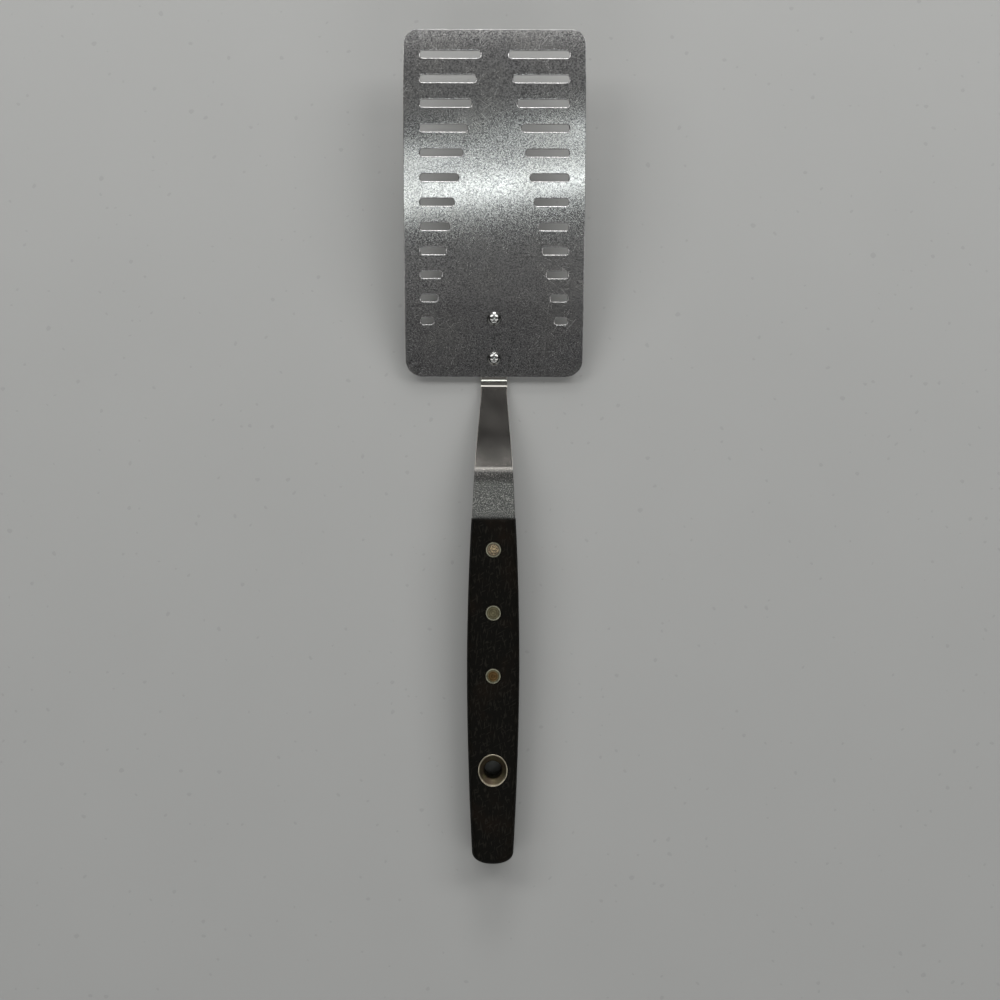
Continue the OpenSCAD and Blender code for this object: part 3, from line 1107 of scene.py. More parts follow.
@dataclass(frozen=True)
class PaintedBoard(Finish):
    """A painted worktop: matt, even, pale grey, with the odd speck of dust."""

    name: str = "painted board"
    tint: str = "#A9A9A7"
    roughness: float = 0.8
    shine: float = 0.2
    mottle_size: float = 60.0
    mottle_span: Span = (0.3, 0.7)
    mottle_shade: Span = (0.99, 1.01)
    speck_size: float = 3.0
    speck_span: Span = (0.79, 0.81)
    speck_shade: Span = (1.0, 0.9)

    def build(self, tree: Tree) -> Node:
        """Adds a faint mottle and a few specks.

        Args:
            tree: the material's tree, which is empty.

        Returns:
            The node of the shader.
        """
        place = put(tree, "ShaderNodeTexCoord").outputs["Object"]
        mottle = put(tree, NOISE, {"Vector": place, "Scale": per(self.mottle_size), "Detail": 3.0})
        speck = put(tree, NOISE, {"Vector": place, "Scale": per(self.speck_size), "Detail": 0.0})
        dots = put(tree, RANGE, [speck, *self.speck_span, *self.speck_shade])
        shade = put(tree, RANGE, [mottle, *self.mottle_span, *self.mottle_shade])
        both = put(tree, MATH, [dots, shade], operation="MULTIPLY")
        shaded = {"Factor": 1.0, "A": colour(self.tint), "B": both}
        tone = put(tree, MIX, shaded, data_type="RGBA", blend_type="MULTIPLY")
        gloss = {"Roughness": self.roughness, "Specular IOR Level": self.shine}
        return put(tree, SURFACE, {"Base Color": tone, **gloss})


@dataclass(frozen=True)
class BlackCard(Finish):
    """Black flocked card: it gives the eye nothing back."""

    name: str = "black card"
    tint: str = "#0A0A0A"

    def build(self, tree: Tree) -> Node:
        """One even, matt black."""
        matt = {"Roughness": 1.0, "Specular IOR Level": 0.0}
        return put(tree, SURFACE, {"Base Color": colour(self.tint), **matt})


# Repeating things


def run_tree(tree: Tree, values: dict[str, Any], name: str) -> Piece:
    """Runs a geometry tree that makes everything itself, and keeps the result as a plain mesh.

    Args:
        tree: the geometry tree.
        values: the tree's inputs by name.
        name: the new piece's name.

    Returns:
        The piece.
    """
    host = linked("host", bpy.data.meshes.new("host"))
    modifier = host.modifiers.new("rule", "NODES")
    modifier.node_group = tree
    for item in tree.interface.items_tree:
        if item.item_type == "SOCKET" and item.in_out == "INPUT" and item.name in values:
            modifier[item.identifier] = values[item.name]
    host.update_tag()
    bpy.context.view_layer.update()
    graph = bpy.context.evaluated_depsgraph_get()
    ready = host.evaluated_get(graph)
    mesh = bpy.data.meshes.new_from_object(ready, preserve_all_data_layers=True, depsgraph=graph)
    mesh.name = name
    host.modifiers.clear()
    bpy.data.objects.remove(host)
    return linked(name, mesh)


def new_tree(name: str, inputs: dict[str, str]) -> tuple[Tree, bpy.types.NodeOutputs]:
    """Starts a geometry tree.

    Args:
        name: the tree's name.
        inputs: the socket type of each input after the geometry, such as Int, by the input's name.

    Returns:
        The tree and its inputs.
    """
    tree = bpy.data.node_groups.new(name, "GeometryNodeTree")
    for label, kind in {"Geometry": "Geometry", **inputs}.items():
        tree.interface.new_socket(label, in_out="INPUT", socket_type=f"NodeSocket{kind}")
    tree.interface.new_socket("Geometry", in_out="OUTPUT", socket_type="NodeSocketGeometry")
    return tree, put(tree, "NodeGroupInput").outputs


def slot_rows_tree() -> Tree:
    """The rule of the slots: rows of two, whose lengths shrink evenly towards the heel.

    Returns:
        A tree that gives the slots' outlines, flat, as rings of points about each slot's middle.
    """
    lengths = ["Half width", "Front row", "Pitch", "Longest", "Shortest", "Side margin", "Slot width"]
    kinds = {"Rows": "Int", "Corners": "Int", **dict.fromkeys([*lengths, "End power"], "Float")}
    tree, given = new_tree("slot rows", kinds)
    row = put(tree, "GeometryNodeInputIndex")
    last = put(tree, MATH, [given["Rows"], 1.0], operation="SUBTRACT")
    share = put(tree, MATH, [row, last], operation="DIVIDE")
    drop = put(tree, MATH, [given["Longest"], given["Shortest"]], operation="SUBTRACT")
    shrink = put(tree, MATH, [share, drop], operation="MULTIPLY")
    length = put(tree, MATH, [given["Longest"], shrink], operation="SUBTRACT")
    half = put(tree, MATH, [length, 0.5], operation="MULTIPLY")
    outer = put(tree, MATH, [given["Half width"], given["Side margin"]], operation="SUBTRACT")
    middle = put(tree, MATH, [outer, half], operation="SUBTRACT")
    back = put(tree, MATH, [row, given["Pitch"]], operation="MULTIPLY")
    along = put(tree, MATH, [given["Front row"], back], operation="SUBTRACT")
    radius = put(tree, MATH, [given["Slot width"], 0.5], operation="MULTIPLY")
    run = put(tree, MATH, [half, radius], operation="SUBTRACT")

    ring_sizes = {"Vertices": given["Corners"], "Radius": radius}
    ring = put(tree, "GeometryNodeMeshCircle", ring_sizes, fill_type="NONE")
    ring_place = put(tree, "GeometryNodeInputPosition")
    unit = put(tree, VECTOR, [ring_place], operation="NORMALIZE")
    ways = put(tree, VECTOR, [unit], operation="SIGN")
    sizes = put(tree, "ShaderNodeSeparateXYZ", [unit])
    power = put(tree, MATH, [2.0, given["End power"]], operation="DIVIDE")
    squared = []
    for axis in ("X", "Y"):
        size = put(tree, MATH, [sizes.outputs[axis]], operation="ABSOLUTE")
        raised = put(tree, MATH, [size, power], operation="POWER")
        squared.append(put(tree, MATH, [raised, radius], operation="MULTIPLY"))
    bare = put(tree, "ShaderNodeCombineXYZ", squared)
    corner = put(tree, VECTOR, [bare, ways], operation="MULTIPLY")
    square = put(tree, "GeometryNodeSetPosition", {"Geometry": ring, "Position": corner})
    kept = {"Geometry": square, "Name": "radial", "Value": ring_place}
    end = put(tree, STORE, kept, data_type="FLOAT_VECTOR", domain="POINT")

    line_sizes = {"Count": given["Rows"], "Offset": (0, 0, 0)}
    line = put(tree, "GeometryNodeMeshLine", line_sizes, mode="OFFSET")
    both = put(tree, "GeometryNodeJoinGeometry")
    for side in (-1.0, 1.0):
        across = put(tree, MATH, [middle, side], operation="MULTIPLY")
        spot = put(tree, "ShaderNodeCombineXYZ", [across, along])
        moved = put(tree, "GeometryNodeSetPosition", {"Geometry": line, "Position": spot})
        kept = {"Geometry": moved, "Name": "half_run", "Value": run}
        sized = put(tree, STORE, kept, data_type="FLOAT", domain="POINT")
        tree.links.new(result(sized), both.inputs[0])
    placed = put(tree, "GeometryNodeInstanceOnPoints", {"Points": both, "Instance": end})
    real = put(tree, "GeometryNodeRealizeInstances", {"Geometry": placed})
    radial = put(tree, "GeometryNodeInputNamedAttribute", {"Name": "radial"}, data_type="FLOAT_VECTOR")
    half_run = put(tree, "GeometryNodeInputNamedAttribute", {"Name": "half_run"}, data_type="FLOAT")
    way = put(tree, "ShaderNodeSeparateXYZ", [radial]).outputs["X"]
    sign = put(tree, MATH, [way], operation="SIGN")
    stretch = put(tree, MATH, [sign, half_run], operation="MULTIPLY")
    offset = put(tree, "ShaderNodeCombineXYZ", [stretch])
    drawn = put(tree, "GeometryNodeSetPosition", {"Geometry": real, "Offset": offset})
    coated = put(tree, "GeometryNodeSetMaterial", {"Geometry": drawn})
    put(tree, "NodeGroupOutput", [coated])
    return tree


def rivet_row_tree() -> Tree:
    """The rule of a row of rivets: copies of one rivet at even steps along a line.

    Returns:
        The tree, which numbers the rivets and keeps each point's place in its own rivet.
    """
    kinds = {"Rivet": "Object", "Count": "Int", "Start": "Vector", "Step": "Vector"}
    tree, given = new_tree("rivet row", {**kinds, "Tilt": "Vector", "Metal": "Material"})
    rivet = put(tree, "GeometryNodeObjectInfo", {"Object": given["Rivet"]}, transform_space="ORIGINAL")
    inner = put(tree, "GeometryNodeInputPosition")
    kept = {"Geometry": rivet.outputs["Geometry"], "Name": "rivet_place", "Value": inner}
    local = put(tree, STORE, kept, data_type="FLOAT_VECTOR", domain="POINT")
    sizes = {"Count": given["Count"], "Start Location": given["Start"], "Offset": given["Step"]}
    line = put(tree, "GeometryNodeMeshLine", sizes, mode="OFFSET")
    index = put(tree, "GeometryNodeInputIndex")
    kept = {"Geometry": line, "Name": "rivet_number", "Value": index}
    numbered = put(tree, STORE, kept, data_type="FLOAT", domain="POINT")
    copies = {"Points": numbered, "Instance": local, "Rotation": given["Tilt"]}
    placed = put(tree, "GeometryNodeInstanceOnPoints", copies)
    real = put(tree, "GeometryNodeRealizeInstances", {"Geometry": placed})
    coated = put(tree, "GeometryNodeSetMaterial", {"Geometry": real, "Material": given["Metal"]})
    put(tree, "NodeGroupOutput", [coated])
    return tree


@dataclass(frozen=True)
class RivetRow:
    """A row of like rivets: their tree, how many, the first two places in metres and their tilt."""

    tree: Tree
    count: int
    ends: Array
    tilt: float

    def build(self, name: str, pattern: Piece, metal: Finish) -> Piece:
        """Copies a pattern along the row, and removes the pattern.

        Args:
            name: the piece's name.
            pattern: one rivet about its own axis.
            metal: the rivets' finish.

        Returns:
            The piece.
        """
        values = {
            "Rivet": pattern,
            "Count": self.count,
            "Start": tuple(self.ends[0]),
            "Step": tuple(self.ends[1] - self.ends[0]),
            "Tilt": (self.tilt, 0.0, 0.0),
            "Metal": metal.material(),
        }
        made = run_tree(self.tree, values, name)
        bpy.data.objects.remove(pattern)
        return made


# The spatula


@dataclass
class Handle:
    """Two wooden scales, riveted through the tang. All sizes are in millimetres."""

    length: float = 136.0
    front_w: float = 17.4
    max_w: float = 20.6
    rear_w: float = 15.8
    rear_power: float = 1.8
    widest_at: float = 59.0
    scale_t: float = 6.8
    crown_r: float = 27.0
    edge_r: float = 4.0
    crease: float = 0.8
    end_round: float = 5.0
    end_power: float = 2.2
    last_turn: float = 63.0
    front_roll: float = 0.5
    tang_t: float = 2.0
    first_rivet_at: float = 11.8
    rivet_pitch: float = 24.75
    rivet_count: int = 3
    head_d: float = 6.3
    head_gap: float = 0.08
    head_depth: float = 1.3
    pocket_depth: float = 1.5
    pocket_edge: float = 0.1
    eyelet_at: float = 98.4
    eyelet_gap: float = 0.05
    side_steps: int = 60
    end_steps: int = 22
    front_steps: int = 28
    edge_steps: int = 9
    pocket_steps: int = 40
    seat_steps: int = 72
    head_steps: int = 56
    end_zone: float = 7.0
    end_spacing: float = 0.6
    row_spacing: float = 1.6
    spot_spacing: float = 1.2
    spot_gap: float = 0.5
    crease_angle: float = 38.0
    head_crease_angle: float = 50.0
    wood: Finish = field(default_factory=StainedHardwood)
    brass: Finish = field(default_factory=GroundBrass)

    @property
    def half_h(self) -> float:
        """Half the handle's height, from the middle of the tang to the crown."""
        return self.tang_t / 2 + self.scale_t

    @property
    def side_len(self) -> float:
        """Length of the long sides, up to the rounded rear end."""
        return self.length - self.end_round

    def half_w(self, at: Array) -> Array:
        """Half the width at a distance behind the front end.

        Args:
            at: distances behind the front end.

        Returns:
            Half the width at each.
        """
        before = np.clip(1 - at / self.widest_at, 0, 1)
        behind = np.clip((at - self.widest_at) / (self.length - self.widest_at), 0, 1)
        front = self.max_w / 2 - (self.max_w - self.front_w) / 2 * before**2
        rear = self.max_w / 2 - (self.max_w - self.rear_w) / 2 * behind**self.rear_power
        return np.where(at < self.widest_at, front, rear)

    def half_w_at(self, at: float) -> float:
        """Half the width at one distance behind the front end."""
        return float(self.half_w(np.array([at]))[0])

    def crown(self, x: Array) -> Array:
        """Height of the crown above the middle of the tang."""
        return self.half_h - self.crown_r + np.sqrt(self.crown_r**2 - x**2)

    def right_side(self, inset: float) -> Array:
        """The right-hand side of the outline, from the front corner to the middle of the rear end.

        Args:
            inset: how far the outline is drawn in.

        Returns:
            Rows of x and y.
        """
        at = np.linspace(0, self.side_len, self.side_steps + 1)
        side = np.column_stack([self.half_w(at) - inset, -at])
        turn = np.radians(np.linspace(90, 0, self.end_steps + 1))[1:]
        out, back = self.half_w_at(self.side_len) - inset, self.end_round - inset
        share = 2 / self.end_power
        x, y = out * np.sin(turn) ** share, -self.side_len - back * np.cos(turn) ** share
        x[-1] = 0.0
        return np.concatenate([side, np.column_stack([x, y])])

    def inset_of(self, x: Array, at: Array) -> Array:
        """How far points lie inside the outline, measured by the outlines drawn in from it.

        Args:
            x: places across the handle.
            at: distances behind the front end.

        Returns:
            The inset of the drawn-in outline through each point, at most the rounded edge's radius.
        """
        near = np.clip(self.half_w(at) - np.abs(x), 0, self.edge_r)
        full = self.half_w_at(self.side_len)
        past = np.maximum(at - self.side_len, 0)
        low, high = np.zeros(len(x)), np.full(len(x), self.edge_r)
        for _ in range(HALVINGS):
            tried = (low + high) / 2
            across = (np.abs(x) / (full - tried)) ** self.end_power
            reach = across + (past / (self.end_round - tried)) ** self.end_power
            low, high = np.where(reach < 1, tried, low), np.where(reach < 1, high, tried)
        return np.where(at > self.side_len, np.minimum(near, low), near)

    def height(self, x: Array, inset: Array) -> Array:
        """Height of the scale's upper face: the lower of the crown and the rounded edge.

        Args:
            x: places across the handle.
            inset: how far each lies inside the outline.

        Returns:
            The heights above the middle of the tang, with the crease sanded off.
        """
        round_edge = np.sqrt(self.edge_r**2 - (self.edge_r - inset) ** 2)
        crown, shoulder = self.crown(x), self.half_h - self.edge_r + round_edge
        blend = np.maximum(self.crease * (1 - inset / self.edge_r), SAME)
        near = np.maximum(blend - np.abs(crown - shoulder), 0) / blend
        return np.minimum(crown, shoulder) - near**2 * blend / 4

    def scale_ring(self, share: float) -> Array:
        """One ring round a scale's rounded edge.

        Args:
            share: 0 where the wall ends, and 1 at the innermost ring.

        Returns:
            Rows of x, y and z, anticlockwise from the rear end.
        """
        inset = self.edge_r * (1 - math.cos(share * math.radians(self.last_turn)))
        drop = self.front_roll * (1 - math.sin(share * math.pi / 2))
        pull = self.front_roll * (1 - math.cos(share * math.pi / 2))
        right = self.right_side(inset)[::-1]
        body = np.column_stack([right, self.height(right[:, 0], np.full(len(right), inset))])
        x = right[-1, 0] * np.cos(np.linspace(0, np.pi, self.front_steps + 1))
        depth = np.clip(self.half_w_at(0.0) - np.abs(x), 0, self.edge_r)
        edge = np.column_stack([x, np.full(len(x), -pull), self.height(x, depth) - drop])
        left = body[1:-1][::-1] * (-1, 1, 1)
        return np.concatenate([body[:-1], edge, left])

    def seat_reach(self, radius: float, spread: float) -> Array:
        """Where a flare that opens at 45 degrees meets the crown.

        Args:
            radius: the radius of the tube under the flare.
            spread: the height at which the flare begins.

        Returns:
            The radius at each point round the seat, clockwise.
        """
        across = spokes(self.seat_steps)[:, 0]
        reach = np.full(self.seat_steps, radius + self.half_h - spread)
        for _ in range(ROUNDS):
            reach = radius + self.crown(reach * across) - spread
        return reach

    def scale_shell(self, eyelet: "Eyelet") -> Shell:
        """The upper scale, with a pocket for each rivet head and the eyelet's seat through it.

        Args:
            eyelet: the eyelet, whose seat is cut.

        Returns:
            The rings and faces.
        """
        shell = Shell()
        rings = [self.scale_ring(1 - i / self.edge_steps) for i in range(self.edge_steps + 1)]
        base = rings[-1] * (1, 1, 0) + (0, 0, self.tang_t / 2)
        pocket_r, seat_r = self.head_d / 2 + self.head_gap, eyelet.outer_r + self.eyelet_gap
        flare_z = self.half_h - eyelet.flare_depth
        middles = [-self.first_rivet_at - i * self.rivet_pitch for i in range(self.rivet_count)]
        mouth_r = pocket_r + self.pocket_edge
        holes = [circle((0.0, y), mouth_r, self.pocket_steps).points for y in middles]
        seat, radial = np.array([0.0, -self.eyelet_at]), spokes(self.seat_steps)
        holes.append(seat + radial * self.seat_reach(seat_r, flare_z)[:, None])

        top, zone = rings[0][:, :2], self.end_zone - self.length
        end_rows = np.arange(-self.length, zone, self.end_spacing)
        rows = np.concatenate([end_rows, np.arange(zone, 0, self.row_spacing)])
        spots = lattice(top, holes, rows, self.spot_spacing, self.spot_gap)
        flat, triangles = fill(top, holes, spots)
        height = self.height(flat[:, 0], self.inset_of(flat[:, 0], -flat[:, 1]))
        crowned = np.column_stack([flat, height])
        crowned[: len(top)] = rings[0]
        numbers = shell.ring(crowned)
        shell.faces += triangles
        outer = [numbers[: len(top)], *[shell.ring(r) for r in rings[1:]], shell.ring(base)]
        shell.bridge(*outer)

        first = len(top)
        for hole in holes[:-1]:
            centre = hole.mean(0)
            arms = (hole - centre) / np.linalg.norm(hole - centre, axis=1, keepdims=True)
            wall = centre + arms * pocket_r
            edge_z = self.crown(wall[:, 0]) - self.pocket_edge
            upper = shell.ring(np.column_stack([wall, edge_z]))
            floor_z = np.full(len(wall), self.half_h - self.pocket_depth)
            lower = shell.ring(np.column_stack([wall, floor_z]))
            shell.bridge(numbers[first : first + len(hole)], upper, lower)
            shell.faces.append(tuple(reversed(lower)))
            first += len(hole)

        tube = seat + radial * seat_r
        levels = (flare_z, self.tang_t / 2)
        neck, foot = (shell.ring(np.column_stack([tube, np.full(len(tube), z)])) for z in levels)
        shell.bridge(numbers[first : first + len(tube)], neck, foot)
        _, triangles = fill(base[:, :2], [tube], np.zeros((0, 2)))
        under = outer[-1] + foot
        shell.faces += [(under[a], under[c], under[b]) for a, b, c in triangles]
        return shell

    def scale(self, side: Side, eyelet: "Eyelet", rest: Rest) -> Piece:
        """One scale in its finish, standing for the CAD's.

        Args:
            side: which scale.
            eyelet: the eyelet.
            rest: how the spatula lies.

        Returns:
            The piece.
        """
        shell = self.scale_shell(eyelet)
        shell = shell if side is Side.TOP else shell.mirrored()
        made = shell.build(f"wood_scale_{side.name.lower()}", rest)
        sharpen(made, self.crease_angle)
        self.wood.dress(made)
        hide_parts(f"scale_{side.name.lower()}")
        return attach(made, "root")

    def head(self, side: Side) -> Piece:
        """One rivet head, ground to the crown, in metres about its own axis.

        Args:
            side: the side whose crown it is ground to.

        Returns:
            The pattern of a head.
        """
        radius = self.head_d / 2
        face = [(r, 0.0) for r in (0.0, 0.5, 1.0, 1.6, 2.2, 2.7)]
        edge = [(radius - 0.12, -0.01), (radius - 0.04, -0.05), (radius, -0.14)]
        wall = [(radius, -self.head_depth), (0.0, -self.head_depth)]
        points, faces = lathe([*face, *edge, *wall], self.head_steps)
        points[:, 2] += self.crown(points[:, 0])
        if side is Side.BOTTOM:
            points, faces = points * (1, 1, -1), flipped(faces)
        made = mesh_object("rivet head pattern", points * MM, faces)
        sharpen(made, self.head_crease_angle)
        return made

    def rivets(self, side: Side, rest: Rest, tree: Tree) -> Piece:
        """The row of rivet heads on one side, standing for the CAD's caps or posts.

        Args:
            side: which side.
            rest: how the spatula lies.
            tree: the rule of a row of rivets.

        Returns:
            The piece.
        """
        second = -self.first_rivet_at - self.rivet_pitch
        ends = rest.place(np.array([[0.0, -self.first_rivet_at, 0.0], [0.0, second, 0.0]]))
        row = RivetRow(tree, self.rivet_count, ends, rest.tilt)
        made = row.build(f"handle_rivets_{side.name.lower()}", self.head(side), self.brass)
        kind = "cap" if side is Side.TOP else "post"
        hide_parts(*[f"handle_{kind}_{place}" for place in ("front", "middle", "rear")])
        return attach(made, "root")


@dataclass
class Eyelet:
    """The brass tube of the hanging hole, flared into both scales. Sizes in millimetres."""

    bore_d: float = 6.9
    wall: float = 0.6
    flare_depth: float = 2.35
    lip_w: float = 0.42
    lip_h: float = 0.15
    lip_sunk: float = 0.02
    lip_steps: int = 6
    throat: float = 0.25
    throat_w: float = 0.12
    throat_h: float = 0.05
    cone_rubbed: float = 0.05
    rim_rubbed: float = 0.35
    steps: int = 96
    crease_angle: float = 60.0
    brass: Finish = field(default_factory=TarnishedBrass)

    @property
    def outer_r(self) -> float:
        """The tube's outer radius."""
        return self.bore_d / 2 + self.wall

    def half_profile(self, handle: Handle, turn: float) -> list[tuple[float, float, float]]:
        """The wall's outline above the middle of the tang, at one angle round the tube.

        Args:
            handle: the handle, whose crown the lip lies on.
            turn: the angle round the tube, in radians.

        Returns:
            Radius, height and how rubbed the brass is, from the bore's middle to the outside's.
        """
        start = handle.half_h - self.flare_depth
        reach = self.outer_r + self.flare_depth
        for _ in range(ROUNDS):
            reach = self.outer_r + float(handle.crown(np.array(reach * math.cos(turn)))) - start
        top = float(handle.crown(np.array(reach * math.cos(turn))))
        bore, inner, bend = self.bore_d / 2, reach - self.lip_w, start + self.throat
        foot_r, foot_z = bore + self.throat_w, bend + self.throat_h
        tube = [(bore, 0.0, 0.0), (bore, bend * 0.5, 0.0), (bore, bend - 0.45, 0.0)]
        tube += [(bore + 0.03, bend - 0.2, 0.0), (foot_r, foot_z, self.cone_rubbed)]
        wide, tall = inner - bore - self.throat_w, top - bend - self.throat_h - self.lip_sunk
        cone = []
        for share in (0.2, 0.4, 0.6, 0.8, 0.94):
            rubbed = self.cone_rubbed if share < 0.9 else self.rim_rubbed
            cone.append((foot_r + wide * share, foot_z + tall * share, rubbed))
        half, high, lip = self.lip_w / 2, self.lip_h + self.lip_sunk, []
        for i in range(self.lip_steps + 1):
            angle = math.pi * (1 - i / self.lip_steps)
            out, up = half * math.cos(angle), high * math.sin(angle)
            lip.append((reach - half + out, top - self.lip_sunk + up, 1.0))
        flare = (self.outer_r + (reach - self.outer_r) * 0.5, start + (top - start) * 0.5 - 0.05, 0.0)
        outside = [flare, (self.outer_r, start, 0.0), (self.outer_r, 0.0, 0.0)]
        return [*tube, *cone, *lip, *outside]

    def build(self, handle: Handle, rest: Rest) -> Piece:
        """The eyelet in its finish, standing for the CAD's.

        Args:
            handle: the handle.
            rest: how the spatula lies.

        Returns:
            The piece.
        """
        shell, rubbed, columns = Shell(), [], []
        for i in range(self.steps):
            turn = 2 * math.pi * i / self.steps
            upper = self.half_profile(handle, turn)
            lower = [(r, -z, b) for r, z, b in reversed(upper[1:-1])]
            radius, z, marks = np.array([*upper, *lower]).T
            rubbed += marks.tolist()
            x, y = radius * math.cos(turn), radius * math.sin(turn) - handle.eyelet_at
            columns.append(shell.ring(np.column_stack([x, y, z])))
        shell.bridge(*columns, columns[0])
        made = shell.build("eyelet_brass", rest)
        mark = made.data.attributes.new("rubbed", "FLOAT", "POINT")
        mark.data.foreach_set("value", np.array(rubbed, np.float32))
        sharpen(made, self.crease_angle)
        self.brass.dress(made)
        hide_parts("eyelet")
        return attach(made, "root")


@dataclass
class Shank:
    """The bent strip: tang, neck and the seat under the blade. Sizes in millimetres."""

    thick: float = 2.0
    front_w: float = 10.5
    knee_w: float = 14.7
    knee_at: float = 23.5
    waist_at: float = 47.5
    flat_len: float = 13.5
    ramp_len: float = 33.5
    ramp_angle: float = 21.5
    upper_bend_r: float = 18.5
    heel_bend_r: float = 7.0
    seat_len: float = 29.1
    rise: float = 21.2
    roll: float = 0.14
    tang_inset: float = 0.2
    row_margin: float = 0.5
    row_turn: float = 2.0
    row_spacing: float = 3.0
    spot_spacing: float = 1.7
    spot_gap: float = 0.45
    nose_steps: int = 24
    hole_steps: int = 40
    steel: Finish = field(default_factory=SatinSteel)

    def stretches(self, handle: Handle) -> list[Stretch]:
        """The strip's stretches, from the tang's rear end to the seat's front end.

        Args:
            handle: the handle.

        Returns:
            The stretches in order.
        """
        turn = self.ramp_angle + self.rise
        return [
            Stretch(handle.length + self.flat_len),
            Stretch(self.upper_bend_r * math.radians(self.ramp_angle), -self.ramp_angle),
            Stretch(self.ramp_len),
            Stretch(self.heel_bend_r * math.radians(turn), turn),
            Stretch(self.seat_len),
        ]

    def path(self, handle: Handle) -> BentPath:
        """The middle line of the strip, which begins at the tang's rear end."""
        return BentPath((-handle.length, 0.0), 0.0, self.stretches(handle))

    def seat_start(self, handle: Handle) -> float:
        """How far along the strip the straight seat begins."""
        return sum(s.length for s in self.stretches(handle)[:-1])

    def rows(self, handle: Handle) -> Array:
        """Places along the strip where the mesh needs a row: close together in the bends.

        Args:
            handle: the handle.

        Returns:
            Distances along the strip.
        """
        at, rows = 0.0, []
        for item in self.stretches(handle):
            count = abs(item.turn) / self.row_turn if item.turn else item.length / self.row_spacing
            steps = max(2, round(count))
            rows += [at + item.length * i / steps for i in range(steps)]
            at += item.length
        return np.array(rows)

    def outline(self, handle: Handle) -> Loop:
        """The strip's outline, laid out flat.

        Args:
            handle: the handle.

        Returns:
            The outline's loop.
        """
        path, rows = self.path(handle), self.rows(handle)
        tang = handle.right_side(self.tang_inset)[::-1] + (0.0, handle.length)
        end = path.length - self.front_w / 2
        neck = rows[(rows > handle.length + self.row_margin) & (rows < end - self.row_margin)]
        widths = [tang[-1, 0], self.knee_w / 2, self.front_w / 2]
        half = np.interp(path.at(neck)[0], [0.0, self.knee_at, self.waist_at], widths)
        right = np.concatenate([tang, np.column_stack([half, neck])])
        nose = arc((0.0, end), self.front_w / 2, 0, 180, self.nose_steps)
        left = right[1:][::-1] * (-1, 1)
        return traced(np.concatenate([right, nose, left]))

    def build(self, handle: Handle, eyelet: Eyelet, rest: Rest) -> Piece:
        """The strip in its finish, standing for the CAD's.

        Args:
            handle: the handle.
            eyelet: the eyelet.
            rest: how the spatula lies.

        Returns:
            The piece.
        """
        hole_r = eyelet.outer_r + handle.eyelet_gap
        hole = circle((0.0, handle.length - handle.eyelet_at), hole_r, self.hole_steps)
        loops, rows = [self.outline(handle), hole], self.rows(handle)
        spots = plate_spots(loops, self.roll, rows, self.spot_spacing, self.spot_gap)
        sizes = (self.thick, self.roll)
        made = bent_plate("bent_shank", self.path(handle), rest, loops, spots, sizes)
        self.steel.dress(made)
        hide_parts("shank")
        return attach(made, "root")


